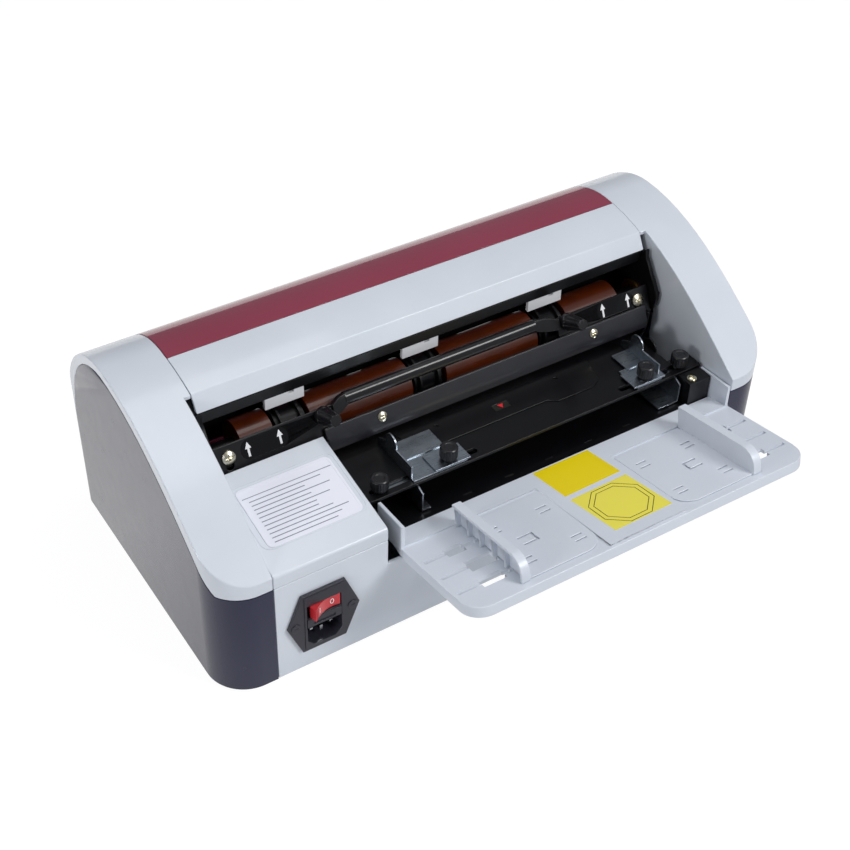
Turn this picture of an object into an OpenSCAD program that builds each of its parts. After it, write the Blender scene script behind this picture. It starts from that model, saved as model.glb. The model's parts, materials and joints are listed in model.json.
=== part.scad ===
// Motorised desktop card and paper cutter.
// Millimetres. X runs left to right, Y from front to back, Z up.
// The origin is the middle of the footprint of casing and tray, on the surface the feet stand on.

/* [Casing] */
// Width of the casing over both side panels
body_w = 430; // [420:2:450]
// Depth of the casing at its foot
body_d = 223; // [219:1:235]
// Height of the casing's crown above the base
body_h = 159.5; // [157:0.5:166]
// Distance of the crown behind the front face
crown_y = 150; // [146:1:154]
// Height of the top edge of the front rim
front_h = 91; // [89:0.5:93]
// Height of the seam between base and upper casing
seam_h = 81; // [79:0.5:82]
// Wall thickness of the moulded shells
wall = 3; // [2.4:0.1:3.4]
// Width of an end cap from its inner face to the outside
end_w = 36; // [34:0.5:38]
// How much further in the caps reach beside the top cover
cap_lap = 4.5; // [3.5:0.5:6]
// Plan radius of the front corners
corner_r = 27; // [22:1:32]
// Plan radius of the rear corners
rear_corner_r = 14; // [10:1:20]
// Thickness of a side panel
panel_t = 3; // [2.4:0.2:3.4]
// Height of the rubber feet under the base
foot_h = 2.5; // [2:0.5:5]
// Diameter of a rubber foot
foot_d = 18; // [12:1:26]
// Gap between neighbouring casing parts
seam_gap = 0.3; // [0.2:0.05:0.4]

/* [Top cover] */
// Front edge of the cover, behind the front face
cover_front_y = 101.2; // [100:0.2:103]
// Drop of the cover's front edge below the crown
cover_front_z = 17.9; // [16.5:0.1:19.5]
// Distance of the cover's crease behind its front edge
crease_y = 6.6; // [5:0.2:9]
// Distance of the window's front edge in front of the crown
window_y = 10; // [4:1:16]
// Distance of the cover's hinge in front of the rear shoulder
hinge_y = 17; // [15:0.5:20]
// Radius of the hinge pins
hinge_pin_r = 1; // [0.8:0.1:1.2]

/* [Power corner] */
// Width of the deck over the power corner
deck_w = 80; // [76:1:82]
// Depth of the deck
deck_d = 80.4; // [78:0.2:81]
// Height of the deck's rear edge
deck_rear_h = 105.9; // [104:0.2:107]
// Width of the label plate
label_w = 66; // [50:1:70]
// Depth of the label plate along the deck
label_d = 47; // [36:1:54]
// Distance of the power inlet's centre from the left cap's inner face
inlet_x = 32.6; // [31:0.2:37]
// Height of the inlet's centre
inlet_z = 41.4; // [38:0.2:44]
// Screw spacing of the inlet flange
inlet_pitch = 40; // [39:0.5:41]
// Depth of the inlet housing behind the wall
inlet_depth = 29; // [26:1:32]
// Half angle of the rocker's tilt
rocker_tilt = 16; // [12:1:16]

/* [Feed table] */
// Height of the upper bed's top face
bed_z = 86; // [85:0.2:87]
// Thickness of the upper bed
bed_t = 2.5; // [2:0.1:3]
// Front edge of the upper bed
bed_front_y = 30; // [28:0.5:32]
// Distance of the thumb knobs behind the bed's front edge
knob_y = 7; // [6:0.5:9]
// Diameter of a thumb knob
knob_d = 12; // [10:0.5:13]
// Height of a thumb knob
knob_h = 10.5; // [8:0.5:12]
// Distance of the left guide wall from the bed's left edge
left_guide_x = 35; // [33:0.5:37]
// Distance of the right guide wall from the bed's right edge
right_guide_x = 28.8; // [27.8:0.5:29.8]
// Height of the guide walls above the bed
guide_h = 10.5; // [8:0.5:12]
// Thickness of the zinc sheet
zinc_t = 1.2; // [1:0.1:1.5]
// Depth of the lower bed's front edge under the upper bed's top face
lower_bed_z = 20.8; // [20.4:0.1:21.4]
// Fall of the lower bed in degrees
lower_bed_fall = 5.8; // [5:0.2:6.4]

/* [Rollers] */
// Distance of the shafts behind the lower fold of the cross bar
shaft_y = 28; // [27.5:0.5:29]
// Pitch of the gear teeth divided by pi
gear_module = 1; // [1]
// Teeth of a shaft gear
shaft_teeth = 32; // [32]
// Teeth of the idler gear
idler_teeth = 24; // [24]
// Teeth of the motor pinion
pinion_teeth = 12; // [12]
// Radius of the shafts
shaft_r = 5; // [4:0.5:5.5]
// Running clearance of shafts and pins in their bores
run_gap = 0.05; // [0.03:0.01:0.08]
// Gap between an upper and a lower roller
nip_gap = 0.4; // [0.3:0.1:0.8]
// Distance of the rollers' ends from the frame plates
roller_end = 23.5; // [23.5:0.5:27]
// Spacing of the cutter heads
head_pitch = 102; // [98:1:104]
// Width of a cutter head
head_w = 27; // [22:1:30]
// Thickness of a cutter blade
blade_t = 1.5; // [1:0.1:2]
// Diameter of the motor
motor_d = 50; // [44:1:52]
// Length of the motor
motor_len = 60; // [50:1:66]

/* [Cross bars] */
// Lean of the bars from the vertical in degrees
bar_lean = 25; // [23:1:27]
// Width of the lower cross bar's face
bar_face = 11.7; // [11:0.1:12.5]
// Thickness of the bar sheet
bar_t = 2; // [1.6:0.1:2.2]
// Width of the push bar's plates above the cross bar
push_face = 11.8; // [11:0.1:12.4]
// Upward travel of the push bar
push_travel = 6; // [3:0.5:6]
// Length of a lock knob
lock_len = 19; // [15:1:20]
// Radius of the grip's rounded edges
grip_r = 3.6; // [3:0.1:4]

/* [Tray] */
// Gap between the tray and the power corner
tray_gap = 9.2; // [8:0.2:12]
// Length of the tray in front of the casing
tray_len = 80; // [78:1:110]
// Depth of the tray's shelf inside the casing
shelf_d = 16.3; // [15:0.1:16.5]
// Upward tilt of the tray in degrees
tray_tilt = 10.5; // [10:0.5:11]
// Height of the tray floor above the lower bed's front edge, at the casing's front face
tray_z = 3.3; // [3.2:0.1:3.8]
// Thickness of the tray's rim
rim_h = 8; // [8:0.5:12]
// Thickness of the tray floor
floor_t = 2.5; // [2:0.1:2.7]
// Height of the shelf and the middle strip above the floor
step_h = 1.2; // [1:0.1:1.4]
// Half width of the middle strip
strip_half = 30.5; // [28:0.5:31]
// Distance between the fences when closed
fence_gap = 177.8; // [176:0.2:180]
// Height of a fence above the floor
fence_h = 17; // [12:0.5:18]
// Length of a fence
fence_len = 74.5; // [72:0.5:76]
// Outward travel of each fence
fence_travel = 33; // [20:1:33]
// Teeth of the pinion between the fence racks
rack_teeth = 16; // [16]

/* [Hidden] */

$fn = 48;
eps = 0.01;
slide_gap = 0.3;

// Casing
half_w = body_w / 2;
cap_x = half_w - end_w;
cover_half = cap_x - cap_lap - seam_gap;
curve_steps = 14;
front_curve = [[0, front_h], [0.3 * crown_y, front_h + 33], [0.63 * crown_y, body_h], [crown_y, body_h]];
shoulder_y = body_d - 9;
shoulder_z = body_h - 54.5;
rear_curve = [[crown_y, body_h], [crown_y + 28, body_h], [shoulder_y - 7, body_h - 21.5], [shoulder_y, shoulder_z]];
back_curve = [[shoulder_y, shoulder_z], [shoulder_y + 4, shoulder_z - 20], [body_d - 1, 40], [body_d, 0]];
lower_bed_top = bed_z - lower_bed_z;
tray_floor_z = lower_bed_top + tray_z;
base_side_h = tray_floor_z - 8.5;
cover_edge_z = body_h - cover_front_z;
crease_at = cover_front_y + crease_y;
window_at = crown_y - window_y;
hinge_at = shoulder_y - hinge_y;
panel_front_x = cap_x;
foot_in = 40;
inlet_at = -cap_x + inlet_x;
label_y = deck_d / 2 + 1.8;
deck_x = -cap_x + deck_w;
deck_slope = (deck_rear_h - front_h) / deck_d;
panel_flange_h = 5;

// Feed table and frame
plate_t = 3;
plate_x = cover_half - 1.2;
plate_inset = 5;
bay_left = deck_x + 0.3;
bracket_t = 2.5;
bed_left = bay_left + bracket_t + 0.2;
end_bracket_x = plate_x - bracket_t - 0.5;
bed_right = end_bracket_x - 0.2;
bed_middle = (bed_left + bed_right) / 2;
bar_right = bed_right - 3.8;
bed_step_x = bed_right - 11.3;
strip_right_x = bed_right + 7.2;
strip_d = 15;
// the cross bar's lower fold, which the bars, the guides and the shafts are placed from
fold_y = deck_d - 2.4;
fold_z = bed_z + 11.2;
roll_y = fold_y + shaft_y;
knob_at = bed_front_y + knob_y;
bed_rear_y = roll_y - 14;
insert_rear_y = fold_y + 2.7;
left_outer_x = bed_left + 13;
left_inner_x = bed_left + 65;
right_inner_x = bed_right - 38.3;
right_outer_x = bed_right - 7.8;
knob_slots = [[left_outer_x - 5, left_inner_x + 20], [right_inner_x - 20, right_outer_x + 2]];
left_wall_x = bed_left + left_guide_x;
right_wall_x = bed_right - right_guide_x;
mark_x = bed_middle - 7.5;
mark_y = fold_y - 14;
slot_w = 4.4;
screw_r = 2;
lower_bed_front_y = shelf_d + 0.5;

// Rollers and gears
shaft_pitch = gear_module * shaft_teeth;
roller_r = (shaft_pitch - nip_gap) / 2;
nip_z = bed_z + 1;
upper_z = nip_z + shaft_pitch / 2;
middle_z = upper_z - shaft_pitch;
lower_z = middle_z - shaft_pitch;
roller_half = plate_x - roller_end;
head_x = [for (i = [-1:1]) -11 + i * head_pitch];
upper_blade_r = shaft_pitch / 2 + 1;
lower_blade_r = shaft_pitch / 2 + 0.5;
bush_r = shaft_r + 3;
gear_w = 7;
gear_x = -plate_x - plate_t - 3;
idler_angle = -10;
idler_gap = gear_module * (shaft_teeth + idler_teeth) / 2;
idler_y = roll_y + idler_gap * cos(idler_angle);
idler_z = lower_z + idler_gap * sin(idler_angle);
motor_angle = 5;
motor_gap = gear_module * (idler_teeth + pinion_teeth) / 2;
motor_y = idler_y + motor_gap * cos(motor_angle);
motor_z = idler_z + motor_gap * sin(motor_angle);
idler_pin_r = 3;

// Cross bars: the plane of the cross bar's face leans back about its lower fold
bar_top_y = fold_y + bar_face * sin(bar_lean);
bar_top_z = fold_z + bar_face * cos(bar_lean);
push_step = 3.1;
lock_u = 7.2;
push_screw_u = 3.4;
push_screw_r = 4.5;
lug_len = 22;
push_left_end = bed_left + 10;
push_right_end = bed_right - 77.8;
lock_left_x = push_left_end - 7.7;
lock_right_x = push_right_end + 8.6;
cross_screw_x = [bed_left + 41.5, bed_right - 51.1];

// Tray
cap_gap = 0.4;
tray_w = cap_x - deck_x - tray_gap - cap_gap;
tray_x = cap_x - cap_gap - tray_w / 2;
tray_reach = tray_len * cos(tray_tilt) + rim_h * sin(tray_tilt);
lug_x = tray_w / 2 - 44.2;
slot_rows = [21.5, 41, 59];
tray_slot_w = 2.6;
fence_face = fence_gap / 2;
fence_wall = 2.2;
fence_top_w = 6.5;
fence_plate_w = fence_face - strip_half - 0.5;
rack_row = slot_rows[1];
rack_r = gear_module * rack_teeth / 2;
rack_top = -floor_t - slide_gap;
rack_t = 3.4;
post_r = 2.5;
fin_t = 2.5;
fin_in = 0.2;
fin_h = 17.5;

// ---------- curves and helpers ----------

// Point on a cubic curve p at t
function bez(p, t) = pow(1 - t, 3) * p[0] + 3 * t * pow(1 - t, 2) * p[1] + 3 * t * t * (1 - t) * p[2] + pow(t, 3) * p[3];
// Direction of a cubic curve p at t
function bez_dir(p, t) = pow(1 - t, 2) * (p[1] - p[0]) + 2 * t * (1 - t) * (p[2] - p[1]) + t * t * (p[3] - p[2]);
// Point of the side outline at u in [0, 3], moved inwards by d
function side_curve(u) = u < 1 ? front_curve : u < 2 ? rear_curve : back_curve;
function side_t(u) = u < 1 ? u : u < 2 ? u - 1 : u - 2;
function side_dir(u) = let (v = bez_dir(side_curve(u), side_t(u))) v / norm(v);
function side_pt(u, d = 0) = bez(side_curve(u), side_t(u)) + d * [side_dir(u)[1], -side_dir(u)[0]];
// Parameter of the outline, between a and b, where it is y behind the front face
function side_u(y, a, b, n = 22) = n == 0 ? (a + b) / 2 :
    bez(side_curve((a + b) / 2), side_t((a + b) / 2))[0] < y ? side_u(y, (a + b) / 2, b, n - 1) : side_u(y, a, (a + b) / 2, n - 1);
// Points of the outline from u0 to u1, moved inwards by d
function side_run(u0, u1, d = 0, n = curve_steps) = [for (i = [0:n]) side_pt(u0 + (u1 - u0) * i / n, d)];
function reversed(v) = [for (i = [len(v) - 1:-1:0]) v[i]];
// Closed outline of the casing from the side, moved inwards by d and run past the front, back and foot
function side_outline(d) = let (
    first = side_pt(0, d), step = side_dir(0), last = side_pt(3, d),
    curve = concat(side_run(0, 1, d), side_run(1 + 1 / curve_steps, 2, d), side_run(2 + 1 / curve_steps, 3, d, 8)))
    concat([[-40, -20], first - 40 * step], curve, [last + [0, -20]]);
// Width of the rim round a side panel at u
function rim_w(u) = u < 1 ? 12 - 6 * u : u < 2 ? 6 + 2 * (u - 1) : 8 - 5 * (u - 2);
// Outline of a side panel, moved inwards by d
function panel_outline(d) = concat([[-5, -5], [-5, seam_h - d], [13 + d, seam_h - d]],
    [for (i = [2:curve_steps * 3 - 2]) let (u = i / curve_steps) side_pt(u, rim_w(u) + d)],
    [[body_d - 3.5 - d, 10], [body_d - 3.2 - d, -5]]);

// Moves the frame of the casing, with y from its front face and z from its base, into place
module at_body() translate([0, (tray_reach - body_d) / 2, foot_h]) children();

// Extrudes a side view from x0 to x1
module along_x(x0, x1) translate([x0, 0, 0]) rotate([90, 0, 90]) linear_extrude(x1 - x0) children();

// Box between two corners
module box(a, b) translate(a) cube(b - a);

// Cylinder along X from x0 to x1, centred on y and z
module rod(x0, x1, y, z, r) translate([x0, y, z]) rotate([0, 90, 0]) cylinder(h = x1 - x0, r = r);

// Plan of the casing, moved inwards by d
module plan(d) {
    f = corner_r - d;
    b = rear_corner_r - d;
    for (side = [-1, 1]) {
        translate([side * (half_w - corner_r), corner_r]) circle(f, $fn = 64);
        translate([side * (half_w - rear_corner_r), body_d - rear_corner_r]) circle(b, $fn = 48);
    }
    translate([-half_w + d, corner_r]) square([body_w - 2 * d, body_d - corner_r - rear_corner_r]);
    translate([-half_w + corner_r, d]) square([body_w - 2 * corner_r, body_d - 2 * d]);
    translate([-half_w + rear_corner_r, corner_r])
        square([body_w - 2 * rear_corner_r, body_d - corner_r - d]);
}

// Solid block with the casing's outer form, moved inwards by d, from z0 up
module block(d, z0) intersection() {
    translate([0, 0, z0]) linear_extrude(body_h + 10) plan(d);
    along_x(-half_w, half_w) polygon(side_outline(d));
}

// Shell of the casing's form between two depths
module shell(outer, inner) difference() {
    block(outer, 0);
    block(inner, -1);
}

// Frame of the leaning bars: x along the bars, y out of the face, z up the slope from the cross bar's top edge
module at_bars(step = 0) translate([0, bar_top_y + step / cos(bar_lean), bar_top_z]) rotate([-bar_lean, 0, 0]) children();

// Frame of the tray: x from its middle, y towards the back, z out of its floor
module at_tray() translate([tray_x, 0, tray_floor_z]) rotate([-tray_tilt, 0, 0]) children();

// Radius of the base circle of a gear
function base_r(teeth) = gear_module * teeth / 2 * cos(20);
// Point of an involute that leaves the base circle rb, where its radius is r, turned by a
function involute(rb, r, a) = let (t = sqrt(max(0, r * r / rb / rb - 1)), b = t * 180 / PI - atan(t) + a) r * [cos(b), sin(b)];
// Half angle of a tooth at the base circle
function tooth_half(teeth) = let (t = tan(20), play = 0.12)
    90 / teeth + t * 180 / PI - 20 - play / (gear_module * teeth / 2) * 90 / PI;
// Outline of one tooth
function tooth(teeth) = let (rb = base_r(teeth), root = gear_module * (teeth / 2 - 1.25),
    tip = gear_module * (teeth / 2 + 0.95), low = max(rb, root), half = tooth_half(teeth))
    concat([[root * cos(half * 1.15), -root * sin(half * 1.15)]],
        [for (i = [0:4]) let (r = low + (tip - low) * i / 4, p = involute(rb, r, -half)) p],
        [for (i = [4:-1:0]) let (r = low + (tip - low) * i / 4, p = involute(rb, r, -half)) [p[0], -p[1]]],
        [[root * cos(half * 1.15), root * sin(half * 1.15)]]);

// Spur gear along Z with its first tooth turned by a
module spur(teeth, w, bore, a = 0) difference() {
    linear_extrude(w) union() {
        circle(gear_module * (teeth / 2 - 1.2), $fn = 48);
        for (i = [0:teeth - 1]) rotate(a + i * 360 / teeth) polygon(tooth(teeth));
    }
    translate([0, 0, -1]) cylinder(h = w + 2, r = bore);
}

// Spur gear on a shaft along X
module gear_at(x, y, z, teeth, bore, a) translate([x, y, z]) rotate([0, 90, 0]) rotate([0, 0, 90]) spur(teeth, gear_w, bore, a);

// Phillips screw head along Z, standing on z = 0
module phillips_head(r, h) difference() {
    intersection() {
        cylinder(h = h, r = r);
        translate([0, 0, h - r * 1.9]) sphere(r * 1.9);
    }
    for (a = [0, 90]) rotate(a) translate([-r * 0.55, -r * 0.11, h * 0.4]) cube([r * 1.1, r * 0.22, h]);
}

// ---------- casing ----------

module base_shell() color("#B4BACB") at_body() difference() {
    union() {
        intersection() {
            block(panel_t + seam_gap, 0);
            box([-half_w, 0, 0], [half_w, body_d, base_side_h]);
        }
        intersection() {
            block(0, 0);
            union() {
                box([-panel_front_x + seam_gap, -1, 0], [panel_front_x - seam_gap, 60, base_side_h]);
                box([-cover_half, 60, 0], [cover_half, body_d + 1, base_side_h]);
                box([-panel_front_x + seam_gap, -1, 0], [deck_x, deck_d, seam_h - seam_gap]);
            }
        }
    }
    // hollow
    intersection() {
        block(panel_t + seam_gap + wall, wall);
        box([-half_w, 0, wall], [half_w, body_d, 200]);
    }
    intersection() {
        block(wall, wall);
        box([-cover_half + wall, wall, wall], [cover_half - wall, body_d, 200]);
    }
    // the return wall of the power corner stays
    box([-half_w, wall * 2.2, base_side_h], [-panel_front_x + 4, body_d, 200]);
    box([-cap_x, deck_d - eps, base_side_h], [deck_x + 1, body_d, 200]);
    // opening of the inlet
    box([inlet_at - 13.8, -1, inlet_z - 23], [inlet_at + 13.8, 8, inlet_z + 21]);
    // rear slot of the lower path
    box([bed_left, body_d - 12, lower_z - 3], [bed_right - 19.8, body_d + 1, lower_z + 11]);
}

module rubber_feet() color("#26262A") at_body() for (x = [foot_in - half_w, half_w - foot_in], y = [30, body_d - 30])
    translate([x, y, -foot_h]) cylinder(h = foot_h, r = foot_d / 2);

// Ring that backs the side panel and joins it to the cap
module panel_flange() difference() {
    along_x(half_w - panel_t - seam_gap - wall, half_w - panel_t - seam_gap)
        intersection() {
            polygon(side_outline(wall - 0.5));
            translate([-1, base_side_h + 1]) square([body_d + 2, 200]);
        }
    along_x(half_w - 20, half_w + 1) polygon(panel_outline(panel_flange_h));
    box([half_w - 20, -1, base_side_h], [half_w, 14, seam_h + 1]);
}

// Right cap with its inner web; the left one is its mirror image
module cap_form() difference() {
    union() {
        difference() {
            shell(0, wall);
            along_x(panel_front_x, half_w + 1) polygon(panel_outline(0));
        }
        intersection() {
            block(panel_t + seam_gap, 0);
            panel_flange();
        }
        // inner web beside the feed table
        intersection() {
            block(1, 0);
            along_x(cap_x, cap_x + 2)
                polygon([[wall + 1, base_side_h + 1], [wall + 1, seam_h], [0, seam_h], [0, body_h], [crease_at + 4, body_h],
                    [crease_at + 4, upper_z + 24], [fold_y + 6, fold_z + 15.8], [fold_y + 10, fold_z + 0.8],
                    [fold_y + 10, base_side_h + 1]]);
        }
    }
    // clear of the feed table and of the cover
    box([-half_w - 1, -1, -1], [cap_x - cap_lap, body_d + 1, 200]);
    box([-half_w - 1, -1, -1], [cap_x, crease_at - 0.5, 200]);
    // clear of the base
    box([0, -1, -1], [panel_front_x, 60, seam_h]);
    box([0, -1, -1], [half_w, 20, base_side_h + 1 - eps]);
    // seat of the cover's hinge pin
    rod(cover_half - 1, cap_x - 0.5, hinge_pt()[0], hinge_pt()[1], hinge_pin_r + run_gap);
}

function hinge_pt() = side_pt(side_u(hinge_at, 1, 2), wall / 2);

module left_end_cap() color("#C9D0DC") at_body() mirror([1, 0, 0]) cap_form();
module right_end_cap() color("#C9D0DC") at_body() cap_form();

module panel_form() intersection() {
    shell(0, panel_t);
    along_x(panel_front_x, half_w + 1) polygon(panel_outline(seam_gap));
}

module left_side_panel() color("#7C7C98") at_body() mirror([1, 0, 0]) panel_form();
module right_side_panel() color("#7C7C98") at_body() panel_form();

// Strip of the casing's skin between two places on its side outline
module skin(u0, u1, x0, x1, n = curve_steps) along_x(x0, x1)
    polygon(concat(side_run(u0, u1, 0, n), reversed(side_run(u0, u1, wall, n))));

module top_front_cover() color("#D3D9E2") at_body() {
    u0 = side_u(crease_at, 0, 1);
    u1 = side_u(window_at - seam_gap, 0, 1);
    skin(u0, u1, -cover_half, cover_half, 6);
    crease = side_pt(u0);
    inner = side_pt(u0, wall);
    along_x(-cover_half, cover_half)
        polygon([[cover_front_y, cover_edge_z], crease, inner, [cover_front_y + wall, cover_edge_z]]);
    // ledge under the window's front edge
    ledge = [for (y = [window_at - 7, window_at - 1, window_at + 5]) side_u(y, 0, 1)];
    along_x(-cover_half + 2, cover_half - 2)
        polygon(concat(side_run(ledge[0], ledge[1], wall - 0.5, 2), side_run(ledge[1], ledge[2], wall + 0.15, 3),
            reversed(side_run(ledge[0], ledge[2], wall + 2, 3))));
}

module red_window() color("#8C3A44") at_body() difference() {
    union() {
        skin(side_u(window_at, 0, 1), 1, -cover_half, cover_half, 4);
        skin(1, side_u(hinge_at, 1, 2), -cover_half, cover_half, 12);
        rod(-cover_half, cover_half, hinge_pt()[0], hinge_pt()[1], wall / 2);
    }
    for (side = [-1, 1]) rod(side * cover_half - 8, side * cover_half + 8, hinge_pt()[0], hinge_pt()[1], hinge_pin_r);
}

module cover_hinge_pins() color("#C0C4C8") at_body() for (side = [-1, 1])
    rod(side * (cover_half - 2.5) - 4.5, side * (cover_half - 2.5) + 4.5, hinge_pt()[0], hinge_pt()[1], hinge_pin_r);

module rear_cover() color("#C9D0DC") at_body() difference() {
    union() {
        skin(side_u(hinge_at + 1.9, 1, 2), 2, -cover_half, cover_half, 6);
        intersection() {
            skin(2, 3, -cover_half, cover_half, 8);
            box([-half_w, 0, base_side_h + seam_gap], [half_w, body_d + 1, 200]);
        }
        // tongue behind the base's rear wall
        box([-cover_half + wall + 1, body_d - 9.5, base_side_h - 8], [cover_half - wall - 1, body_d - 6.5, base_side_h + 12]);
    }
    // exit slot of the upper path
    box([bed_left - 9, body_d - 20, nip_z - 5], [bed_right - 19.8, body_d + 1, nip_z + 9]);
}

module deck_cover() color("#D3D9E2") at_body() difference() {
    along_x(-cap_x + seam_gap, deck_x)
        polygon([[0, seam_h], [0, front_h - 1.5], [1.5, front_h + 1.5 * deck_slope], [deck_d, deck_rear_h], [deck_d, seam_h]]);
    along_x(-cap_x + seam_gap + wall, deck_x - 2.5)
        polygon([[wall, seam_h - 1], [wall, front_h - wall + wall * deck_slope], [deck_d + 1, deck_rear_h - wall + deck_slope], [deck_d + 1, seam_h - 1]]);
}

module deck_label() color("#ECEEF4") at_body() translate([(deck_x - cap_x) / 2 + 1.5, label_y, front_h + label_y * deck_slope])
    rotate([atan(deck_slope), 0, 0]) translate([0, 0, 0.25]) {
        r = 4;
        linear_extrude(0.5, center = true) difference() {
            rounded(label_w, label_d, r);
            rounded(label_w - 3, label_d - 3, r - 1.5);
        }
        translate([0, 0, -0.1]) linear_extrude(0.3, center = true) rounded(label_w - 2, label_d - 2, r - 1);
    }

// Rectangle with round corners about the origin
module rounded(w, h, r) {
    square([w - 2 * r, h], center = true);
    square([w, h - 2 * r], center = true);
    for (x = [-1, 1], y = [-1, 1]) translate([x * (w / 2 - r), y * (h / 2 - r)]) circle(r, $fn = 32);
}

// ---------- frame ----------

// Side view of a frame plate
module plate_view() {
    foot = 4;
    intersection() {
        polygon(side_outline(plate_inset));
        polygon([[fold_y + 15.2, foot],
            // wavy front edge beside the bars
            for (p = [[15.2, -27.8], [10.5, -17.6], [9, -8.5], [11.2, -4.8], [9.2, -1.8], [7.2, 2.9], [4.1, 5.5],
                [2.5, 11.6], [2.2, 17.3], [6.5, 24.7], [11.2, 30.6], [15.3, 36.9]]) [fold_y + p[0], fold_z + p[1]],
            [cover_front_y - 4.7, cover_edge_z - 3.9], [cover_front_y - 3.8, cover_edge_z + 2.6], [cover_front_y - 0.7, cover_edge_z - 0.6],
            [cover_front_y + 4.3, cover_edge_z - 0.6], [crease_at + 3.7, cover_edge_z + 9.4],
            [crease_at + 3.7, body_h], [body_d - 23, body_h], [body_d - 23, foot]]);
    }
}

// Right frame plate with its foot; the left one adds the drive's holes
module plate_form(drive) difference() {
    union() {
        along_x(plate_x, plate_x + plate_t) plate_view();
        box([plate_x - 11, fold_y + 14, wall + 0.1], [plate_x + plate_t, body_d - 27, wall + 3]);
        // lug behind the push bar
        at_bars(push_step + bar_t + 0.3) box([plate_x - lug_len, 0, -5], [plate_x + plate_t, bar_t, 9]);
        if (drive) along_x(plate_x - 9, plate_x + 1) polygon([[crown_y - 8, body_h - 13.5], [crown_y + 8, body_h - 14.5], [crown_y - 8, body_h - 18.5]]);
        // tab of the cover's switch
        else translate([plate_x + 1, crown_y + 7, body_h - 18.5]) linear_extrude(2)
            polygon([for (a = [90:15:270]) [56 * cos(a), 25 * sin(a)]]);
    }
    for (z = [upper_z, middle_z, lower_z]) rod(plate_x - 1, plate_x + plate_t + 1, roll_y, z, bush_r + 0.02);
    if (drive) {
        rod(plate_x - 1, plate_x + plate_t + 1, motor_y, motor_z, 9);
        rod(plate_x - 1, plate_x + plate_t + 1, idler_y, idler_z, idler_pin_r + 0.02);
    }
    // seats of the push bar's screws
    for (x = [plate_x - lug_len / 2]) at_bars(push_step) translate([x, -1, push_screw_u]) rotate([-90, 0, 0]) cylinder(h = 12, r = screw_r + 0.02);
}

module left_frame_plate() color("#141416") at_body() mirror([1, 0, 0]) plate_form(true);
module right_frame_plate() color("#141416") at_body() plate_form(false);

module tie_rods() color("#9AA0A6") at_body() {
    rod(-plate_x, plate_x, body_d - 37, body_h - 37.5, 4);
    rod(-plate_x, plate_x, body_d - 33, nip_z - 21, 4);
    // idler pin
    rod(gear_x - gear_w - 1, -plate_x - 0.5, idler_y, idler_z, idler_pin_r);
}

module lip_plate() color("#141416") at_body() difference() {
    translate([0, cover_front_y, cover_edge_z]) {
        along_x(-plate_x + 0.1, plate_x - 0.1)
            polygon([[0.4, -9], [2.4, -9], [2.4, -3], [19.8, -3], [19.8, -1], [0.4, -1]]);
    }
    for (x = head_x) translate([x - 40, cover_front_y + 10.8, cover_edge_z - 4.6]) cylinder(h = 5, r = 2.2);
}

// Rear part of a bracket's side view, which the bars rest on
bar_seat = [[fold_y - 2, fold_z + 5.8], [fold_y + 5.3, fold_z + 5.8], [fold_y + 3.9, fold_z + 2.6], [fold_y + 3.9, fold_z + 0.8],
    [fold_y + 10.5, fold_z - 0.2], [fold_y + 10.5, wall]];

// Bracket left of the feed table
module left_bed_bracket() color("#17171A") at_body() difference() {
    along_x(bay_left, bay_left + bracket_t) polygon(concat([[bed_front_y - 10, wall], [bed_front_y - 10, lower_bed_top - 10.2],
        [bed_front_y - 6, bed_z - bed_t - 0.1], [fold_y - 6, bed_z - bed_t - 0.1]], bar_seat));
    rod(bay_left - 1, bay_left + 4, 60, 30, 12);
}

// Bracket right of the feed table, which carries the front strip of the bed and the bars
module right_end_bracket() color("#17171A") at_body() difference() {
    top = bed_z - bed_t - 0.1;
    rear_y = bed_front_y + strip_d;
    along_x(bar_right + 0.2, bar_right + 0.2 + bracket_t) polygon([[bed_front_y, wall], [bed_front_y, top - 1.8],
        [rear_y - 1.6, top - 1.8], [rear_y - 1.6, top], [rear_y + 0.3, top], [rear_y + 1.5, lower_bed_top + 2.8],
        [fold_y + 6, lower_bed_top + 2.8], [fold_y + 7.7, fold_z - 20.7], [fold_y + 3, fold_z - 10.5],
        [fold_y + 1.5, fold_z - 1.4], [fold_y + 1.5, fold_z + 5.8], each [for (i = [1:5]) bar_seat[i]]]);
    rod(bar_right - 1, bar_right + 5, 60, 30, 12);
}

module end_block() color("#101012") at_body() difference() {
    box([bed_right - 13.3, lower_bed_front_y + 0.2, lower_bed_top + 0.2], [plate_x + 2.2, bed_front_y - 0.3, bed_z - 1.5]);
    translate([right_outer_x, lower_bed_front_y + 5.2, bed_z - 10]) cylinder(h = 12, r = 1.5);
}

module end_block_screw() color("#C8CCD0") at_body() translate([right_outer_x, lower_bed_front_y + 5.2, bed_z - 1.5]) {
    cylinder(h = 0.6, r = 3.4);
    translate([0, 0, 0.6]) phillips_head(2.6, 1.4);
    translate([0, 0, -8]) cylinder(h = 8, r = 1.48);
}

// ---------- cross bars ----------

module cross_bar() color("#2A2A2F") at_body() difference() {
    back_y = bar_top_y + bar_t * cos(bar_lean);
    back_z = bar_top_z - bar_t * sin(bar_lean);
    inner_z = back_z - (back_y - fold_y - bar_t) / tan(bar_lean);
    along_x(bed_left, bar_right) polygon([[fold_y, bed_z + 5.5], [fold_y, fold_z], [bar_top_y, bar_top_z],
        [back_y, back_z], [fold_y + bar_t, inner_z], [fold_y + bar_t, bed_z + 5.5]]);
    for (x = cross_screw_x) at_bars() translate([x, -1, -bar_face / 2]) rotate([-90, 0, 0]) cylinder(h = bar_t + 2, r = 2.02);
}

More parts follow.
